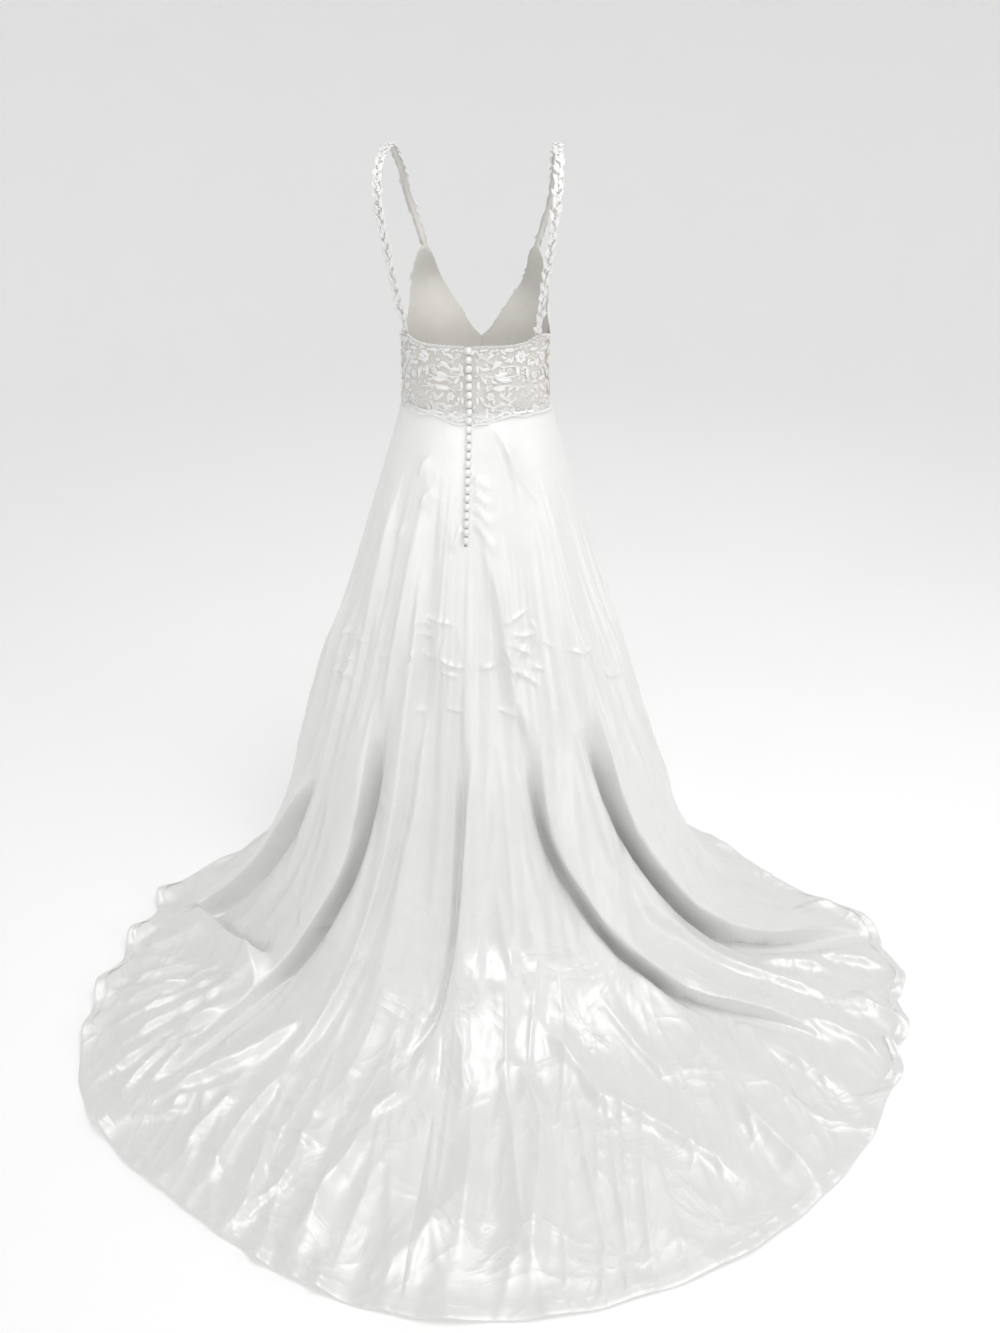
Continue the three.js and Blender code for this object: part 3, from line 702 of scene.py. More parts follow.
# Short creases pressed in while the dress was folded, and the puckers beside the buttons.
pressedCreases = table("rise steep gentle side path", [
    (3, 3, 6.5, 1, [(18, 0.367), (12, 0.371), (2, 0.378)]),
    (3.4, 3, 6.5, 1, [(6.5, 0.397), (8.5, 0.435), (5.5, 0.450), (-2.5, 0.455)]),
    (2.6, 3, 6.5, 1, [(19, 0.409), (17, 0.399), (11, 0.405)]),
    (2.6, 3, 6.5, 1, [(19, 0.450), (24, 0.475)]),
    (3, 3, 6.5, 1, [(-14, 0.379), (-19.5, 0.367), (-27, 0.348)]),
    (3.4, 3, 6.5, 1, [(-15, 0.408), (-21, 0.423), (-27, 0.442)]),
    (3.4, 3, 6.5, 1, [(-16, 0.456), (-21.5, 0.471), (-28, 0.499)]),
    (2.8, 3, 6.5, 1, [(-27, 0.368), (-28, 0.396), (-27, 0.427)]),
    (2.4, 3, 6.5, 1, [(-5, 0.457), (-13, 0.449)]),
    (3.2, 3, 7.5, 1, [(-13, 0.396), (-16.5, 0.437), (-22.5, 0.489)]),
    (2.8, 3, 7.5, 1, [(61, 0.453), (48.5, 0.439), (39, 0.443)]),
    (3, 3, 7.5, 1, [(61, 0.533), (46, 0.519), (41.5, 0.542)]),
    (2.4, 3, 6.5, 1, [(58, 0.494), (44, 0.483)]),
    (2.4, 3, 7.5, 1, [(6, 0.530), (-2, 0.536)]),
    (2.6, 3, 7.5, 1, [(-11, 0.530), (-20, 0.551)]),
    (2.2, 3, 6.5, 1, [(19, 0.543), (12, 0.547)]),
    (2.8, 3, 6.5, 1, [(-38, 0.434), (-45, 0.452), (-50, 0.441)]),
    (2.6, 3, 6.5, 1, [(-52, 0.500), (-60, 0.522), (-66, 0.512)]),
    (2.6, 3, 6.5, 1, [(21, 0.385), (16, 0.378), (13, 0.392)]),
    (2.6, 3, 6.5, 1, [(17, 0.425), (14, 0.440), (10, 0.437)]),
    (2.4, 3, 6.5, 1, [(20, 0.430), (17.5, 0.460)]),
    (2.6, 3, 6.5, 1, [(9, 0.462), (4, 0.470), (1, 0.466)]),
    (2.8, 3, 6.5, 1, [(-17, 0.392), (-23, 0.400), (-29, 0.395)]),
    (2.4, 3, 6.5, 1, [(-20, 0.440), (-25, 0.415)]),
    (2.6, 3, 6.5, 1, [(-13, 0.428), (-17, 0.460), (-19, 0.475)]),
    (2.4, 3, 6.5, 1, [(-24, 0.455), (-30, 0.468)]),
    (2.2, 3, 6.5, 1, [(-30, 0.410), (-34, 0.430)]),
    (2.2, 3, 6.5, 1, [(34, 0.460), (28, 0.452)]),
    (3, 6, 12, 1, [(25, 0.083), (29.5, 0.098), (30, 0.125)]),
    (3, 6, 12, 1, [(19, 0.135), (24, 0.151), (25, 0.180)]),
    (2.4, 5, 10, 1, [(33, 0.200), (38, 0.240)]),
    (3.2, 6, 12, 1, [(-22, 0.045), (-26, 0.10), (-28, 0.17)]),
    (3.4, 6, 14, 1, [(-11, 0.000), (-22, 0.05), (-32, 0.125), (-41, 0.170)]),
    (3, 5, 10, 1, [(-1.5, 0.118), (-7, 0.122), (-13, 0.138)]),
    (3.2, 5, 10, 1, [(-1.5, 0.142), (-7, 0.149), (-13, 0.170)]),
    (3.8, 5, 11, 1, [(-1.5, 0.164), (-7, 0.176), (-14, 0.208)]),
    (4.2, 6, 12, 1, [(-1.5, 0.186), (-7, 0.204), (-14, 0.252)]),
    (3.6, 5, 10, -1, [(1.5, 0.196), (4, 0.215), (6, 0.250)]),
])


# Soft flutes that fall round the front.
frontFlutes = table("angle rise width", [
    (104, 0.016, 0.042),
    (128, 0.013, 0.036),
    (155, 0.015, 0.040),
    (192, 0.012, 0.036),
    (218, 0.015, 0.040),
    (246, 0.016, 0.042),
])

# Patches where the cloth is crumpled: middle angle, middle distance down, half sizes and strength.
crumpled = table("angle down halfAngle halfDown height", [
    (28, 1.40, 24, 0.20, 0.0021),
    (48, 1.28, 14, 0.14, 0.0014),
    (-13, 1.13, 8, 0.12, 0.0065),
    (-40, 1.42, 30, 0.20, 0.0030),
    (0, 1.45, 24, 0.20, 0.0026),
    (-20, 0.44, 22, 0.10, 0.0020),
    (14, 0.44, 20, 0.09, 0.0020),
])


# Where the hem curls up or runs out further than the cut: middle angle, half width, and how far.
hemLobes = table("angle width out lift", [
    (69, 2.2, 0.012, 0.022),
    (64, 1.6, -0.010, 0.004),
    (60, 2.0, 0.012, 0.024),
    (55.5, 1.4, -0.010, 0.003),
    (51.5, 2.0, 0.010, 0.026),
    (46, 1.8, 0.006, 0.018),
    (33, 1.3, 0.000, 0.010),
    (24, 1.0, 0.002, 0.008),
    (12, 0.9, 0.003, 0.012),
    (6.5, 0.8, 0.002, 0.010),
    (-77, 2.2, 0.014, 0.016),
    (-72, 1.2, -0.012, 0.004),
    (-67.5, 1.8, 0.012, 0.014),
    (-63.5, 1.0, -0.010, 0.003),
    (-60, 1.7, 0.012, 0.014),
    (-56.4, 0.9, -0.016, 0.016),
    (-53.5, 1.4, 0.010, 0.010),
])


# What the folds of a group share: a factor on their rises, how peaked they are, and their last fade.
layers = table("folds boost power fadeOut", [
    (mainFolds, 1.0, 2, 0.22),
    (fallingLines, 2.3, 1.6, 0.3),
    (trainCreases, 1.35, 1.5, 0.3),
    (pressedCreases, 2.0, 1.3, 0.3),
])


grain = {
    "facetWide": 0.075, "facetLong": 0.26, "fine": 0.06, "coarseShare": 1.7, "fineShare": 0.45,
    "streak": 0.0075, "thinStreak": 0.0032, "lying": 0.0015, "hanging": 0.0016,
}


def wrinkles(angles, along, plan):
    # Height of the fine, uneven wrinkling at each grid point.
    planX, planY = plan[..., 0], plan[..., 1]
    across = np.radians(angles) * np.maximum(along, 0.3)
    coarse = facetNoise(across / grain["facetWide"], along / grain["facetLong"], 5)
    fine = facetNoise(planX / grain["fine"], planY / grain["fine"], 17)
    height = np.zeros(angles.shape)
    for patch in crumpled:
        u = (angles - patch["angle"]) / patch["halfAngle"]
        v = (along - patch["down"]) / patch["halfDown"]
        crumple = grain["coarseShare"] * coarse + grain["fineShare"] * fine
        height += patch["height"] * crumple * np.exp(-(u ** 2 + v ** 2) ** 1.4)
    body = smooth(along, 0.05, 0.5)
    lying = smooth(along, 0.95, 1.2)
    streaks = grain["streak"] * latticeNoise(angles / 5.2, along / 0.55, 31)
    streaks += grain["thinStreak"] * latticeNoise(angles / 2.6, along / 0.40, 41)
    height += streaks * body * (1 - 0.5 * lying)
    height += lying * grain["lying"] * (coarse + 0.3 * fine)
    height += (1 - lying) * body * grain["hanging"] * facetNoise(across / 0.07, along / 0.13, 73)
    return height * (1 - smooth(np.abs(angles), 160, 178))


seams = {"width": 0.0035, "depth": 0.0012}
hem = {"lift": 0.009, "liftReach": 0.030, "sway": 0.0035, "swayReach": 0.05, "turning": 0.022, "step": 0.0009}


def dressedGrid(angleList, shares):
    # The skirt's outer face with all its folds.
    grid, along = flareGrid(angleList, shares)
    angles = np.broadcast_to(wrapped(angleList)[:, None], along.shape)
    radius = np.hypot(grid[..., 0], grid[..., 1])
    down = np.gradient(grid, axis=1)
    down /= np.linalg.norm(down, axis=-1, keepdims=True) + 1e-12
    turn = np.radians(angles)
    around = np.stack([np.cos(turn), -np.sin(turn), np.zeros_like(turn)], -1)
    out = unit(np.cross(around, down))
    moved = grid.copy()
    for layer, fold in [(layer, fold) for layer in layers for fold in layer["folds"]]:
        strength, across, trough = foldStrength(fold, layer, angles, along, radius)
        lift = fold["rise"] * mm * layer["boost"] * strength - fold.get("dig", 0) * mm * trough
        moved += out * lift[..., None]
        push = fold.get("lean", 0) * mm * strength ** 1.5
        moved += around * (push * across[..., 0])[..., None] + down * (push * across[..., 1])[..., None]
    for flute in frontFlutes:
        away = np.radians(wrapped(angles - flute["angle"])) * radius
        strength = bell(away / flute["width"]) * smooth(along, 0.15, 0.8) * smooth(1.15 - along, 0, 0.25)
        moved += out * (flute["rise"] * strength)[..., None]
    moved += out * wrinkles(angles, along, grid)[..., None]
    # The seams draw the cloth in a little.
    for seamAngle, start in ((0, 0.2), (sideSeam, 0), (-sideSeam, 0)):
        seam = bell(np.radians(angles - seamAngle) * radius / seams["width"])
        moved -= out * (seams["depth"] * seam * smooth(along, start, start + 0.1))[..., None]
    # The hem lifts unevenly off the floor.
    toHem = along[:, -1:] - along
    still = 1 - smooth(np.abs(angles), 150, 176)
    lift = hem["lift"] * np.clip(latticeNoise(angles / 6.0, angles * 0 + 3.7, 91), 0, 1) * still + 0.001
    sway = hem["sway"] * latticeNoise(angles / 4.3, angles * 0 + 8.2, 95) * still
    for lobe in hemLobes:
        strength = bell((angles - lobe["angle"]) / lobe["width"])
        lift = lift + lobe["lift"] * strength
        sway = sway + lobe["out"] * strength
    moved += down * (sway * bell(toHem / hem["swayReach"]))[..., None]
    moved[..., 2] += lift * bell(toHem / hem["liftReach"])
    doubled = smooth(hem["turning"] - toHem, 0, 0.0015) * hem["step"]
    moved += out * doubled[..., None]
    moved[..., 2] = np.maximum(moved[..., 2], 0.002)
    return moved, along


def rollHem(grid):
    # The hem's edge turns under and runs back on the floor side.
    last = grid[:, -1, :]
    away = unit((last - grid[:, -3, :]) * [1, 1, 0])
    steps = [(0.0006, -0.0004), (0.0006, -0.0011), (0.0, -0.0014), (-0.010, -0.0014), (-0.018, -0.0012)]
    extra = []
    for outward, drop in steps:
        row = last + away * outward
        row[:, 2] = np.maximum(last[:, 2] + drop, 0.0003)
        extra.append(row)
    return np.concatenate([grid, np.stack(extra, 1)], 1)


def rowShares(count):
    # Rows lie closer together where short creases cross the cloth at knee height.
    share = np.linspace(0, 1, 600)
    density = 1 + 1.5 * smooth(share, 0.185, 0.215) * smooth(0.36 - share, 0, 0.03)
    total = running((density[1:] + density[:-1]) / 2)
    return np.interp(np.linspace(0, total[-1], count), total, share)


skirtPanels = table("name node from to columns rows", [
    ("satinBackRight", "skirt_back_right", -sideSeam, 0, 310, 310),
    ("satinBackLeft", "skirt_back_left", 0, sideSeam, 310, 310),
    ("satinFront", "skirt_front", sideSeam, 360 - sideSeam, 250, 310),
])


def sheetArea(grid):
    one = np.cross(grid[1:, :-1] - grid[:-1, :-1], grid[:-1, 1:] - grid[:-1, :-1])
    two = np.cross(grid[1:, 1:] - grid[1:, :-1], grid[1:, 1:] - grid[:-1, 1:])
    return 0.5 * (np.linalg.norm(one, axis=-1).sum() + np.linalg.norm(two, axis=-1).sum())


def makeSkirt():
    made = {}
    for panel in skirtPanels:
        angles = np.linspace(panel["from"], panel["to"], panel["columns"])
        shares = rowShares(panel["rows"])
        grid, _ = dressedGrid(angles, shares)
        area = sheetArea(grid)
        grid = rollHem(grid)
        grid[..., 2] += floorLevel
        piece = gridPiece(panel["name"], grid, satin)
        made[panel["name"]] = (finishPiece(piece, [panel["node"]]), area)
        print(panel["name"], "area", round(area, 3))
    return made


skirt = makeSkirt()
print("skirt made")


# Bodice walls.

bodicePanels = table("name node from to material slot", [
    ("backBand", "back_band", 0, bandEdge, bandNet, "lace"),
    ("sidePanel", "side_panel", bandEdge, frontEdge, sideNet, "net"),
    ("bodiceFront", "bodice_front", frontEdge, 180, bandNet, "lace"),
])


def makeBodice():
    for side, sideName in ((1, "left"), (-1, "right")):
        for panel in bodicePanels:
            angles = np.linspace(panel["from"], panel["to"], 48)
            rows = np.linspace(0, 1, 40)
            heights = topHeight(angles)[:, None] + (waistHeight - topHeight(angles)[:, None]) * rows[None, :]
            wide = np.broadcast_to(angles[:, None], heights.shape)
            ripple = 0.0006 * latticeNoise(wide / 7, heights / 0.03, 7)
            outer = bodicePoints(wide, heights, ripple)
            inner = bodicePoints(wide, heights, ripple - 0.0012)
            points = np.concatenate([outer, inner[:, ::-1]], 1)
            points = np.concatenate([points, points[:, :1]], 1)
            points[..., 0] *= side
            if side < 0:
                points = points[::-1]
            piece = gridPiece(f"{panel['name']}.{sideName}", points, panel["material"], True)
            finishPiece(piece, [f"{panel['node']}_{sideName}"])
            if panel["name"] == "bodiceFront":
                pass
            elif panel["name"] == "backBand":
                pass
            else:
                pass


makeBodice()
print("bodice walls made")


# Lace, straps and buttons.

def bandArc():
    # Length round the bodice from the centre back, by angle, at the middle of the band.
    turn = np.linspace(0, 180, 361)
    ring = bodicePoints(turn, 1.09)
    return turn, running(np.linalg.norm(np.diff(ring, axis=0), axis=1))


arcAngles, arcLengths = bandArc()


def bandSurface(flat):
    # From length round the band, height above the waist seam and height off the cloth, to a point.
    angles = np.interp(np.abs(flat[:, 0]), arcLengths, arcAngles) * np.sign(flat[:, 0])
    above = np.maximum(flat[:, 1], 0)
    below = np.maximum(-flat[:, 1], 0)
    points = bodicePoints(angles, waistHeight + above, flat[:, 2] + below * 0.36 + np.minimum(below, 0.002))
    points[:, 2] -= below
    return points


def wayOf(heading):
    # The direction of a heading in degrees, or of each of several.
    return np.stack([np.cos(np.radians(heading)), np.sin(np.radians(heading))], -1)


class LaceWork:
    # Thread work laid on a surface: cords, leaves, flowers, fans and beads in one mesh.
    def __init__(self, surface):
        self.surface = surface
        self.points = []
        self.faces = []
        self.count = 0

    def add(self, flat, faces):
        self.points.append(self.surface(flat))
        self.faces.extend([[corner + self.count for corner in face] for face in faces])
        self.count += len(flat)

    def cord(self, path, radius=0.0008, lift=0.0007, closed=False, sides=5):
        path = np.asarray(path, float)
        ahead = np.roll(path, -1, 0) - np.roll(path, 1, 0) if closed else np.gradient(path, axis=0)
        ahead /= np.linalg.norm(ahead, axis=1, keepdims=True) + 1e-9
        beside = np.stack([-ahead[:, 1], ahead[:, 0]], -1)
        widths = np.full(len(path), radius)
        if not closed:
            widths[0] = widths[-1] = radius * 0.2
        ring = np.arange(sides) * 2 * math.pi / sides
        flat = np.zeros((len(path), sides, 3))
        flat[..., :2] = path[:, None] + beside[:, None] * (widths[:, None] * np.cos(ring))[..., None]
        flat[..., 2] = lift + widths[:, None] * np.sin(ring)
        self.add(flat.reshape(-1, 3), tubeFaces(len(path), sides, closed=closed))

    def leaf(self, foot, heading, length, width, bend=0.0, lift=0.0005, rim=0.0006):
        turn = math.radians(heading)
        steps = 10
        t = np.linspace(0, 1, steps)
        swing = turn + math.radians(bend) * t
        spine = np.array(foot) + np.stack([np.cos(swing), np.sin(swing)], -1) * (t * length)[:, None]
        beside = np.stack([-np.sin(swing), np.cos(swing)], -1)
        half = width * 0.5 * np.sin(math.pi * t ** 0.8) ** 0.85
        u = np.array([-1, -0.5, 0, 0.5, 1])
        flat = np.zeros((steps, len(u), 3))
        flat[..., :2] = spine[:, None] + beside[:, None] * (half[:, None] * u)[..., None]
        flat[..., 2] = lift + 0.0018 * (1 - u ** 2) - 0.0010 * (np.abs(u) < 0.1)
        self.add(flat.reshape(-1, 3), gridFaces(steps, len(u)).tolist())
        left = spine + beside * half[:, None]
        right = spine - beside * half[:, None]
        self.cord(np.concatenate([left, right[-2:0:-1]]), rim, lift + 0.0004, closed=True, sides=3)

    def bead(self, place, radius=0.0011, lift=0.0010):
        rings, sides = 5, 7
        around = np.arange(sides) * 2 * math.pi / sides
        high, turn = np.meshgrid(np.linspace(0, math.pi, rings), around, indexing="ij")
        flat = np.stack([place[0] + radius * np.sin(high) * np.cos(turn),
                         place[1] + radius * np.sin(high) * np.sin(turn), lift + radius * np.cos(high)], -1)
        self.add(flat.reshape(-1, 3), tubeFaces(rings, sides))

    def flower(self, place, radius, petals=6, turn=0.0):
        for petal in range(petals):
            heading = turn + 360 * petal / petals
            foot = np.array(place) + wayOf(heading) * radius * 0.22
            self.leaf(foot, heading, radius * 0.8, radius * 0.72, 0, 0.0008, 0.0005)
        self.bead(place, radius * 0.20, 0.0018)

    def fan(self, place, radius, opening, rays, heading=-90):
        for ray in range(rays):
            way = wayOf(heading - opening / 2 + opening * ray / (rays - 1))
            tip = np.array(place) + way * radius * (1 - 0.10 * abs(ray - (rays - 1) / 2) / rays)
            steps = np.linspace(0.12, 0.84, 6)[:, None]
            self.cord(np.array(place) + (tip - place) * steps, 0.0006)
            loop = np.linspace(0, 360, 10, endpoint=False)
            size = radius * math.radians(opening) / rays * 0.55
            self.cord(tip - way * size * 0.7 + wayOf(loop) * size, 0.0007, closed=True)
            self.bead(tip - way * size * 0.7)
        for share in (0.42, 0.70):
            turns = np.linspace(heading - opening / 2, heading + opening / 2, 14)
            self.cord(np.array(place) + wayOf(turns) * radius * share, 0.0007)

    def piece(self, name, material, slotName):
        made = makePiece(name, np.concatenate(self.points), self.faces, material)
        return finishPiece(made, [])


# The band's motifs for one half: distance from the centre back and height above the waist seam, in metres.
bandFlowers = table("across up size petals turn", [
    (0.083, 0.093, 0.0115, 7, 10),
    (0.064, 0.071, 0.0060, 5, 40),
    (0.033, 0.028, 0.0078, 6, 0),
    (0.108, 0.060, 0.0075, 6, 20),
    (0.126, 0.090, 0.0085, 6, 0),
    (0.142, 0.058, 0.0065, 5, 15),
    (0.019, 0.097, 0.0058, 5, 25),
    (0.060, 0.024, 0.0055, 5, 10),
])

bandLeaves = table("across up heading length width bend", [
    (0.062, 0.066, 172, 0.026, 0.0085, 22),
    (0.066, 0.056, 190, 0.029, 0.0085, -18),
    (0.058, 0.044, 205, 0.024, 0.0080, -20),
    (0.052, 0.086, 196, 0.024, 0.0075, 20),
    (0.040, 0.100, 205, 0.017, 0.0060, 10),
    (0.034, 0.074, 165, 0.019, 0.0065, 25),
    (0.028, 0.050, 150, 0.018, 0.0060, -25),
    (0.013, 0.082, 262, 0.015, 0.0055, 14),
    (0.015, 0.054, 250, 0.017, 0.0058, 20),
    (0.012, 0.028, 280, 0.015, 0.0055, -10),
    (0.047, 0.034, 300, 0.018, 0.0060, 15),
    (0.096, 0.082, 335, 0.020, 0.0070, 30),
    (0.094, 0.074, 290, 0.020, 0.0070, -20),
    (0.078, 0.078, 262, 0.018, 0.0070, 16),
    (0.072, 0.104, 160, 0.020, 0.0060, 20),
    (0.098, 0.103, 20, 0.020, 0.0060, -22),
    (0.112, 0.074, 60, 0.018, 0.0065, 15),
    (0.117, 0.052, 350, 0.020, 0.0070, 25),
    (0.120, 0.044, 300, 0.022, 0.0070, 18),
    (0.134, 0.076, 300, 0.016, 0.0060, -20),
    (0.140, 0.092, 20, 0.016, 0.0055, 10),
    (0.146, 0.044, 280, 0.020, 0.0065, -10),
    (0.150, 0.070, 80, 0.017, 0.0055, 16),
    (0.112, 0.098, 350, 0.012, 0.0050, 0),
])

bandFans = table("across up radius opening rays", [
    (0.090, 0.040, 0.034, 84, 8),
    (0.140, 0.024, 0.020, 80, 5),
    (0.047, 0.018, 0.020, 96, 6),
    (0.018, 0.010, 0.023, 92, 6),
])

bandVines = [
    [(0.010, 0.104), (0.030, 0.088), (0.052, 0.078), (0.074, 0.078), (0.090, 0.068), (0.100, 0.050)],
    [(0.010, 0.070), (0.022, 0.062), (0.044, 0.062), (0.064, 0.060), (0.082, 0.064)],
    [(0.024, 0.036), (0.040, 0.044), (0.058, 0.046), (0.076, 0.042), (0.090, 0.042)],
    [(0.100, 0.092), (0.112, 0.084), (0.122, 0.070), (0.132, 0.056), (0.140, 0.034)],
    [(0.116, 0.098), (0.130, 0.074), (0.146, 0.064), (0.158, 0.050)],
    [(0.010, 0.040), (0.022, 0.016), (0.036, 0.010), (0.052, 0.014), (0.070, 0.010)],
]


# The lace's lower edge: distance from the centre back and height above the waist seam.
bandFoot = [
    (0.007, -0.0150), (0.020, -0.0140), (0.034, -0.0105), (0.048, -0.0050), (0.062, -0.0020),
    (0.082, -0.0045), (0.102, -0.0020), (0.125, -0.0030), (0.152, -0.0010),
]


# Small leaves and beads, with the room that each keeps round itself.
filling = {
    "leafShare": 0.62, "leafLength": (0.0070, 0.0115), "leafWidth": 0.45, "leafRoom": 0.0060,
    "bead": (0.0010, 0.0016), "beadRoom": 0.0038,
}


def fillLace(work, draw, count, acrossRange, upRange, kept, side, stretch, inside):
    # They go where the larger motifs leave the net open.
    for _ in range(count):
        across, up = draw.uniform(*acrossRange), draw.uniform(*upRange)
        if not inside(across, up):
            continue
        if any(math.hypot(across - x, up - y) < r for x, y, r in kept):
            continue
        place = (across * side * stretch, up)
        if draw.random() < filling["leafShare"]:
            length = draw.uniform(*filling["leafLength"])
            heading, bend = draw.uniform(0, 360), draw.uniform(-30, 30)
            work.leaf(place, heading, length, length * filling["leafWidth"], bend)
            kept.append((across, up, filling["leafRoom"]))
        else:
            work.bead(place, draw.uniform(*filling["bead"]))
            kept.append((across, up, filling["beadRoom"]))


def mirrored(heading, side):
    return heading if side > 0 else 180 - heading


# One scallop of each edge: half its width, how far it bulges, and the cord, bead and leaf that make it.
topScallop, footScallop = table("half bulge cord cordLift bead beadLift leaf swing length width", [
    (0.0039, 0.0042, 0.0009, 0.0009, 0.0008, 0.0010, -0.0035, 25, 0.0078, 0.0038),
    (0.0034, -0.0036, 0.0010, 0.0012, -0.0012, 0.0014, 0.0035, 40, 0.0080, 0.0040),
])


def layScallop(work, draw, side, stretch, start, edge, shape):
    turn = np.linspace(0, math.pi, 7)
    wide = (start + shape["half"] - shape["half"] * np.cos(turn)) * side * stretch
    arc = np.stack([wide, edge + shape["bulge"] * np.sin(turn)], -1)
    work.cord(arc, shape["cord"], shape["cordLift"])
    middle = (start + shape["half"]) * side * stretch
    work.bead((middle, edge + shape["bead"]), 0.0012, shape["beadLift"])
    heading = mirrored(draw.uniform(-shape["swing"], shape["swing"]), side)
    foot = ((start + 0.001) * side * stretch, edge + shape["leaf"])
    work.leaf(foot, heading, shape["length"], shape["width"])


def makeBandLace(side, sideName, stretch):
    work = LaceWork(bandSurface)
    draw = random.Random(71 if side > 0 else 72)
    kept = []
    for row in bandFlowers:
        work.flower((row["across"] * side * stretch, row["up"]), row["size"], row["petals"], row["turn"])
        kept.append((row["across"], row["up"], row["size"] + 0.004))
    for row in bandLeaves:
        place = (row["across"] * side * stretch, row["up"])
        work.leaf(place, mirrored(row["heading"], side), row["length"], row["width"], row["bend"] * side)
        for share in (0.2, 0.5, 0.8):
            off = wayOf(row["heading"]) * row["length"] * share
            kept.append((row["across"] + off[0], row["up"] + off[1], 0.0062))
    for row in bandFans:
        work.fan((row["across"] * side * stretch, row["up"]), row["radius"], row["opening"], row["rays"])
        for share in (0.15, 0.5, 0.85):
            kept.append((row["across"], row["up"] - row["radius"] * share, row["radius"] * 0.42))
    for path in bandVines:
        work.cord(smoothPath([(x * side * stretch, y) for x, y in path], 5), 0.0011)
    for start in np.arange(0.008, 0.150, 0.0078):
        angle = np.interp((start + topScallop["half"]) * stretch, arcLengths, arcAngles)
        layScallop(work, draw, side, stretch, start, topHeight(angle) - waistHeight - 0.0030, topScallop)
    # The lower edge dips at the centre back.
    lower = smoothPath(bandFoot, 12)
    for across, up in lower[:-1:3]:
        layScallop(work, draw, side, stretch, across, up, footScallop)

    def inside(across, up):
        top = topHeight(np.interp(across, arcLengths, arcAngles)) - waistHeight - 0.005
        return np.interp(across, lower[:, 0], lower[:, 1]) + 0.003 < up < top

    fillLace(work, draw, 2600, (0.008, 0.156), (-0.012, 0.118), kept, side, stretch, inside)
    return work.piece(f"laceBand.{sideName}", laceThread, "lace")


makeBandLace(1, "left", 1.0)
makeBandLace(-1, "right", 1.10)
print("band lace made")


# Lace over the fronts and the scattered leaves of the side panels, laid out in staggered rows.
frontLace = {"pitch": 0.034, "flower": 0.0100, "leaf": 0.0185, "leafWidth": 0.0066, "edge": 0.0062}


def makeFrontLace(side, sideName):
    work = LaceWork(bandSurface)
    draw = random.Random(91 if side > 0 else 92)
    kept = []
    start, end = np.interp((bandEdge, 180), arcAngles, arcLengths)
    fronts = float(np.interp(frontEdge, arcAngles, arcLengths))

    def inside(across, up):
        return up < topHeight(np.interp(across, arcLengths, arcAngles)) - waistHeight - 0.005

    row = 0
    for up in np.arange(0.012, 0.25, frontLace["pitch"] * 0.8):
        shift = frontLace["pitch"] * (0.25 if row % 2 else 0.75)
        for across in np.arange(fronts + shift, end - 0.008, frontLace["pitch"]):
            across += draw.uniform(-0.004, 0.004)
            if not inside(across, up + 0.008):
                continue
            place = (across * side, up)
            work.flower(place, frontLace["flower"] * draw.uniform(0.8, 1.1), 6, draw.uniform(0, 60))
            kept.append((across, up, frontLace["flower"] + 0.003))
            turn = draw.uniform(0, 360)
            for step in range(3):
                heading = turn + 120 * step + draw.uniform(-20, 20)
                way = wayOf(heading)
                foot = np.array([across, up]) + way * frontLace["flower"] * 1.1
                tip = foot + way * frontLace["leaf"]
                if inside(tip[0], tip[1]) and tip[1] > 0.002 and fronts < tip[0] < end - 0.002:
                    work.leaf((foot[0] * side, foot[1]), mirrored(heading, side), frontLace["leaf"],
                              frontLace["leafWidth"], draw.uniform(-20, 20))
                    for share in (0.25, 0.75):
                        middle = foot + way * frontLace["leaf"] * share
                        kept.append((middle[0], middle[1], 0.006))
        row += 1
    fillLace(work, draw, 520, (fronts, end - 0.004), (0.004, 0.245), kept, side, 1.0, inside)
    fillLace(work, draw, 26, (start + 0.004, fronts), (0.006, 0.130), kept, side, 1.0, inside)
    # A cord and small leaves follow the top edge from the side to the centre front.
    line = np.linspace(start, end, 170)
    edge = topHeight(np.interp(line, arcLengths, arcAngles)) - waistHeight - 0.0022
    work.cord(np.stack([line * side, edge], -1), 0.0009, 0.0010)
    for across, up in zip(line[::3], edge[::3]):
        heading = mirrored(draw.uniform(-160, -20), side)
        work.leaf((across * side, up - 0.0012), heading, frontLace["edge"], 0.0034)
    return work.piece(f"laceFront.{sideName}", laceThread, "lace")


makeFrontLace(1, "left")
makeFrontLace(-1, "right")
print("front lace made")


# Each strap's middle line on the wearer's left, with the turn of its width about the upright.
strapRoute = table("x y height turn", [
    (0.1153, 0.0450, 1.1553, -38),
    (0.1165, 0.0500, 1.170, -37),
    (0.122, 0.062, 1.205, -32),
    (0.129, 0.077, 1.255, -25),
    (0.138, 0.086, 1.315, -18),
    (0.146, 0.083, 1.375, -12),
    (0.146, 0.060, 1.422, -5),
    (0.140, 0.012, 1.446, 0),
    (0.138, -0.012, 1.446, 0),
    (0.134, -0.058, 1.418, 3),
    (0.127, -0.094, 1.365, 10),
    (0.1045, -0.103, 1.294, 28),
    (0.1000, -0.100, 1.2803, 30),
])

strapSize = {"ribbon": 0.011, "thick": 0.0014, "leaf": 0.0135, "leafWidth": 0.0058, "pitch": 0.0092}


def strapFrames(side):
    rows = [(row["x"], row["y"], row["height"] + floorLevel, row["turn"]) for row in strapRoute]
    line = smoothPath(rows, 14)
    middle = line[:, :3] * np.array([side, 1, 1])
    turn = np.radians(line[:, 3])
    across = np.stack([np.cos(turn) * side, np.sin(turn), np.zeros_like(turn)], -1)
    out = unit(np.cross(unit(np.gradient(middle, axis=0)), across) * side)
    lengths = running(np.linalg.norm(np.diff(middle, axis=0), axis=1))
    return middle, across, out, lengths


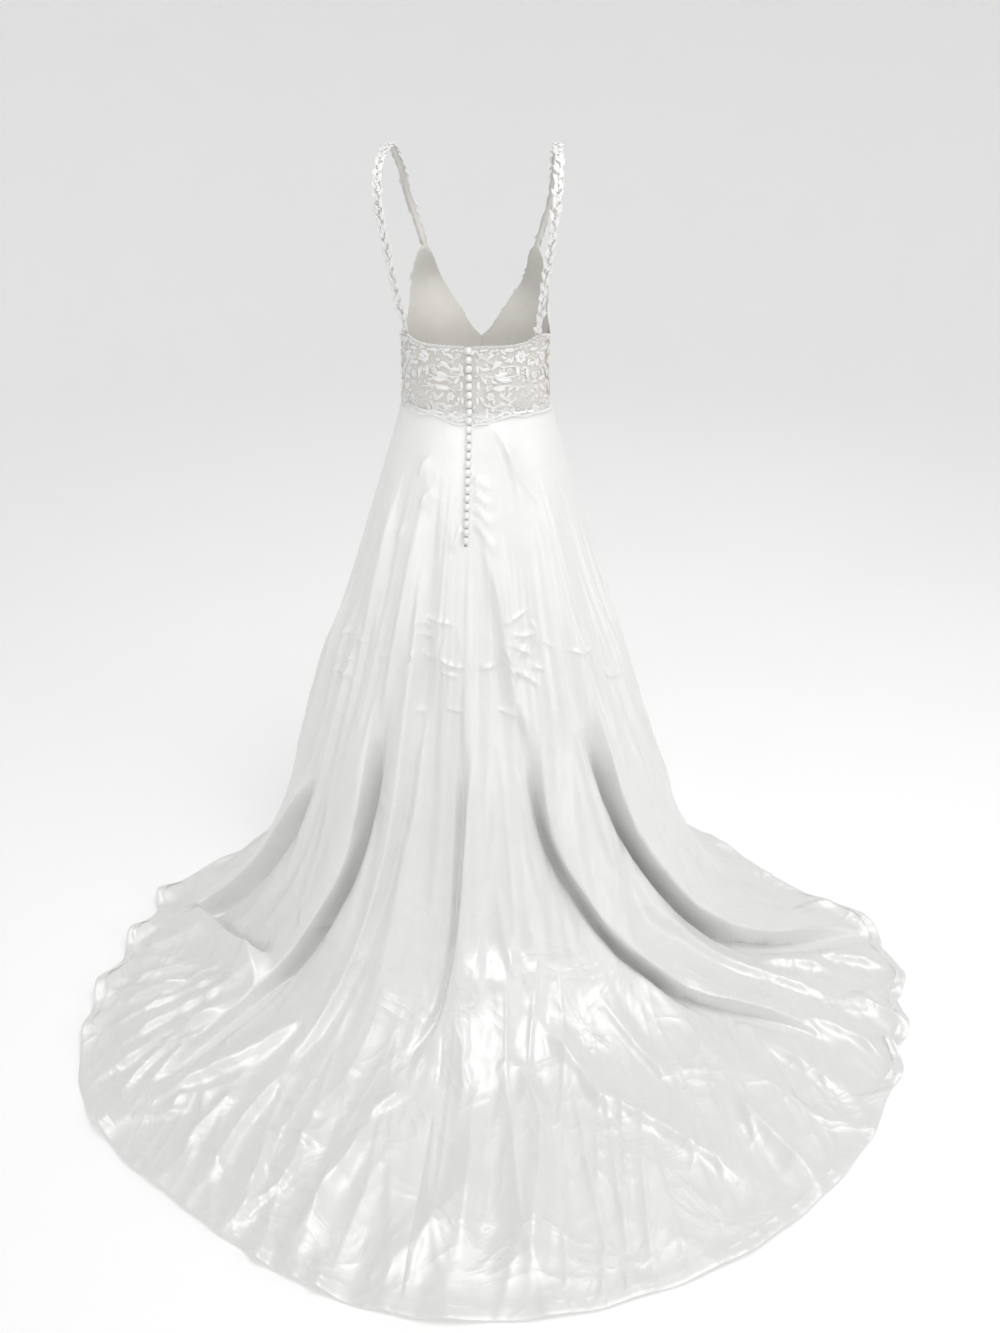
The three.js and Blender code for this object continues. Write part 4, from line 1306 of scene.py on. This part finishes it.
def makeStrap(side, sideName):
    middle, across, out, lengths = strapFrames(side)
    total = lengths[-1]

    def strapSurface(flat):
        # From width across the strap, length along it and height off it, to a point.
        def read(values):
            return np.stack([np.interp(flat[:, 1], lengths, values[:, axis]) for axis in range(3)], -1)
        return read(middle) + read(across) * flat[:, :1] + read(out) * flat[:, 2:]

    alongs = np.linspace(0.0005, total - 0.0005, 90)
    half, thick = strapSize["ribbon"] / 2, strapSize["thick"] / 2
    section = [(-half, thick), (0, thick * 1.2), (half, thick), (half, -thick), (0, -thick), (-half, -thick)]
    section.append(section[0])
    flat = np.array([[(wide, along, off) for wide, off in section] for along in alongs])
    grid = strapSurface(flat.reshape(-1, 3)).reshape(flat.shape)
    ribbon = gridPiece(f"strap.{sideName}", grid, bandNet, True)
    finishPiece(ribbon, [f"strap_{sideName}"])
    work = LaceWork(strapSurface)
    draw = random.Random(81 if side > 0 else 82)
    # Leaves lie across each other up both edges, with beads where they meet.
    along = 0.004
    flip = 1
    while along < total - 0.010:
        for edge in (flip, -flip):
            heading = 90 - edge * draw.uniform(28, 62)
            behind = 0 if edge == flip else strapSize["pitch"] * 0.45
            place = (edge * draw.uniform(-0.001, 0.002), along + behind)
            length = strapSize["leaf"] * draw.uniform(0.85, 1.15)
            work.leaf(place, heading, length, strapSize["leafWidth"], edge * draw.uniform(5, 35), 0.0012)
        if draw.random() < 0.22:
            work.flower((draw.uniform(-0.003, 0.003), along), 0.0062, 5, draw.uniform(0, 72))
        work.bead((draw.uniform(-0.002, 0.002), along + 0.002), 0.0014, 0.0026)
        along += strapSize["pitch"]
        flip = -flip
    for edge in (-1, 1):
        steps = np.linspace(0.001, total - 0.001, 160)
        wave = edge * half + 0.0016 * np.sin(steps / 0.0065 + edge)
        work.cord(np.stack([wave, steps], -1), 0.0008, 0.0012)
    work.piece(f"strapLace.{sideName}", laceThread, "lace")
    return total


strapLength = makeStrap(1, "left")
makeStrap(-1, "right")
print("straps made, each", round(float(strapLength), 3))


buttonSize = {
    "count": 23, "pitch": 0.015, "radius": 0.0054, "depth": 0.0048, "topDrop": 0.006, "proud": 0.0016,
    "rings": 9, "steps": 26, "loopRadius": 0.0008, "loopSides": 5,
}
# Size of the dark strip under the buttons that paints the shade between them.
buttonGapShadeStrip = {"width": 0.0064, "off": 0.0008, "over": 0.010}


def centreLine():
    # Points down the centre back, from the band's top edge to below the last button.
    grid, along = dressedGrid(np.array([0.0]), np.linspace(0, 0.25, 220))
    bandHeight = float(topHeight(0)) - waistHeight
    heights = np.linspace(float(topHeight(0)), waistHeight, 60, endpoint=False)
    upper = bodicePoints(np.zeros(60), heights)
    lower = grid[0] + np.array([0, 0, floorLevel])
    line = np.concatenate([upper, lower])
    drops = np.concatenate([float(topHeight(0)) - heights, bandHeight + along[0]])
    return line, drops


def makeButtons():
    line, drops = centreLine()
    loops = []
    faces = []
    side = np.array([1.0, 0, 0])

    def seat(drop):
        return np.array([np.interp(drop, drops, line[:, axis]) for axis in range(3)])

    for index in range(buttonSize["count"]):
        drop = buttonSize["topDrop"] + index * buttonSize["pitch"]
        above, below = seat(drop - buttonSize["radius"]), seat(drop + buttonSize["radius"])
        down = (below - above) / np.linalg.norm(below - above)
        out = np.cross(down, side)
        out *= math.copysign(1, out[1])
        middle = seat(drop) + out * buttonSize["proud"]
        rings, steps = buttonSize["rings"], buttonSize["steps"]
        points = [middle + out * buttonSize["depth"]]
        for ring in range(1, rings):
            t = ring / (rings - 1)
            quarter = t * math.pi * 0.5
            reach = buttonSize["radius"] * min(1, math.sin(quarter) * 1.04) * (1 if t < 0.95 else 0.9)
            high = buttonSize["depth"] * math.cos(quarter) ** 0.75
            for step in range(steps):
                turn = 2 * math.pi * step / steps
                pleat = 1 + 0.012 * math.sin(step * 2.3 + index) * t
                way = side * math.cos(turn) + down * math.sin(turn)
                points.append(middle + out * high + way * reach * pleat)
        cap = ringFan(steps, turned=True) + tubeFaces(rings - 1, steps, 1, turned=True)
        piece = makePiece(f"button.{index + 1:02d}", points, cap, buttonSatin)
        finishPiece(piece, [f"button_{index + 1:02d}"])
        # Its loop comes from the right edge, round the button and back.
        path = []
        reach = buttonSize["radius"] + 0.0009
        for turn in np.linspace(-2.2, 2.2, 15):
            across = math.cos(turn) * reach if abs(turn) < 1.6 else -(abs(turn) - 1.6) * 0.006
            path.append(middle + out * 0.0012 + side * across + down * (math.sin(turn) * reach * 0.95))
        start = len(loops)
        for place, ahead in zip(path, np.gradient(np.array(path), axis=0)):
            beside = np.cross(out, unit(ahead))
            for corner in range(buttonSize["loopSides"]):
                turn = 2 * math.pi * corner / buttonSize["loopSides"]
                way = beside * math.cos(turn) + out * math.sin(turn)
                loops.append(place + way * buttonSize["loopRadius"])
        faces += tubeFaces(len(path), buttonSize["loopSides"], start, turned=True)
    finishPiece(makePiece("buttonLoops", loops, faces, buttonSatin), [])
    # Between the buttons lies a strip for the opening under them, coloured dark as painted shade for the
    # gaps.
    length = buttonSize["topDrop"] + (buttonSize["count"] - 1) * buttonSize["pitch"] + buttonGapShadeStrip["over"]
    steps = np.linspace(0.001, length, 150)
    section = [(-0.5, 0.0), (-0.35, 1.0), (0.35, 1.0), (0.5, 0.0), (0.35, -0.3), (-0.35, -0.3), (-0.5, 0.0)]
    grid = np.zeros((len(steps), len(section), 3))
    for index, drop in enumerate(steps):
        out = unit(np.cross(seat(drop + 0.001) - seat(drop - 0.001), side))
        out *= math.copysign(1, out[1])
        for corner, (wide, high) in enumerate(section):
            grid[index, corner] = seat(drop) + side * wide * buttonGapShadeStrip["width"] + out * high * buttonGapShadeStrip["off"]
    finishPiece(gridPiece("buttonGapShadeStrip", grid, buttonGapShadeNet, True), [])


makeButtons()
print("buttons and loops made")


# Floor, light and camera.

stage = {"flat": 5.0, "edge": 9.0, "rise": 6.2, "rings": 14, "sides": 64}


def makeStage():
    # A pale floor that curves up all round, so that no horizon shows.
    finish = newFinish("floorPaper")
    tone = finish.noise(finish.place(), 3, 2)
    material = finish.close({
        "Base Color": finish.mix(tone, (0.92, 0.92, 0.917, 1), (0.945, 0.945, 0.942, 1)),
        "Roughness": 0.9,
        "Emission Color": (1, 1, 1, 1),
        "Emission Strength": 0.18,
    })
    points = [(0, 0, floorLevel)]
    for ring in range(stage["rings"]):
        t = ring / (stage["rings"] - 1)
        radius = stage["flat"] + (stage["edge"] - stage["flat"]) * t
        for side in range(stage["sides"]):
            turn = 2 * math.pi * side / stage["sides"]
            height = floorLevel + stage["rise"] * t * t
            points.append((radius * math.cos(turn), radius * math.sin(turn), height))
    faces = ringFan(stage["sides"]) + tubeFaces(stage["rings"], stage["sides"], 1)
    makePiece("floor", points, faces, material)


dressMiddle = (0, 0.3, floorLevel + 0.5)

lamps = table("name place target size power spread", [
    ("keyLight", (1.7, 2.7, 1.0), dressMiddle, (0.9, 0.9), 6, 180),
    ("sideLight", (-3.1, 1.5, 0.1), dressMiddle, (0.9, 1.2), 7, 180),
    ("farLight", (-0.3, -3.4, 1.7), (0, 0.6, floorLevel), (3.6, 2.4), 6, 180),
    ("topLight", (-0.9, 0.8, 2.0), dressMiddle, (1.6, 1.6), 38, 180),
    ("bodiceLight", (0.5, 2.4, 0.5), (0, 0.1, -0.35), (0.5, 0.5), 0.14, 26),
])

# How bright the sky is at each share of the way from straight down to straight up.
skyStops = [(0.05, 0.30), (0.55, 0.34), (1.0, 0.60)]


def makeSky():
    # Soft light that is brighter overhead than at the sides.
    world = bpy.data.worlds.new("studio")
    bpy.context.scene.world = world
    sky = Finish(world)
    place = sky.node("ShaderNodeTexCoord", output="Generated")
    up = sky.node("ShaderNodeSeparateXYZ", None, {0: place}, output="Z")
    stops = [(height, (value, value, value, 1)) for height, value in skyStops]
    colour = sky.node("ShaderNodeValToRGB", {"stops": stops}, {0: up})
    light = sky.node("ShaderNodeBackground", None, {"Color": colour})
    sky.node("ShaderNodeOutputWorld", None, {"Surface": light})


def aim(holder, place, ahead):
    bpy.context.scene.collection.objects.link(holder)
    holder.location = place
    holder.rotation_euler = Vector(ahead).to_track_quat("-Z", "Y").to_euler()


def makeLights():
    for lamp in lamps:
        light = bpy.data.lights.new(lamp["name"], "AREA")
        light.shape = "RECTANGLE"
        light.size, light.size_y = lamp["size"]
        light.energy = lamp["power"]
        light.spread = math.radians(lamp["spread"])
        ahead = Vector(lamp["target"]) - Vector(lamp["place"])
        aim(bpy.data.objects.new(lamp["name"], light), lamp["place"], ahead)
    makeSky()


view = {"pitch": 28, "yaw": 5.4, "height": 1.455, "behind": 1.83, "aside": -0.218, "lens": 26.74}


def makeCamera():
    camera = bpy.data.cameras.new("camera")
    camera.lens = view["lens"]
    camera.sensor_width = 36
    rig = bpy.data.objects.new("camera", camera)
    pitch, yaw = math.radians(view["pitch"]), math.radians(view["yaw"])
    ahead = (math.sin(yaw) * math.cos(pitch), -math.cos(yaw) * math.cos(pitch), -math.sin(pitch))
    aim(rig, (view["aside"], view["behind"], floorLevel + view["height"]), ahead)
    bpy.context.scene.camera = rig


makeStage()
makeLights()
makeCamera()
bpy.context.scene.view_settings.view_transform = "Standard"

for name, (piece, area) in skirt.items():
    if name == "satinFront":
        round(area / 0.98, 2)
    else:
        round(area / 0.98, 2)
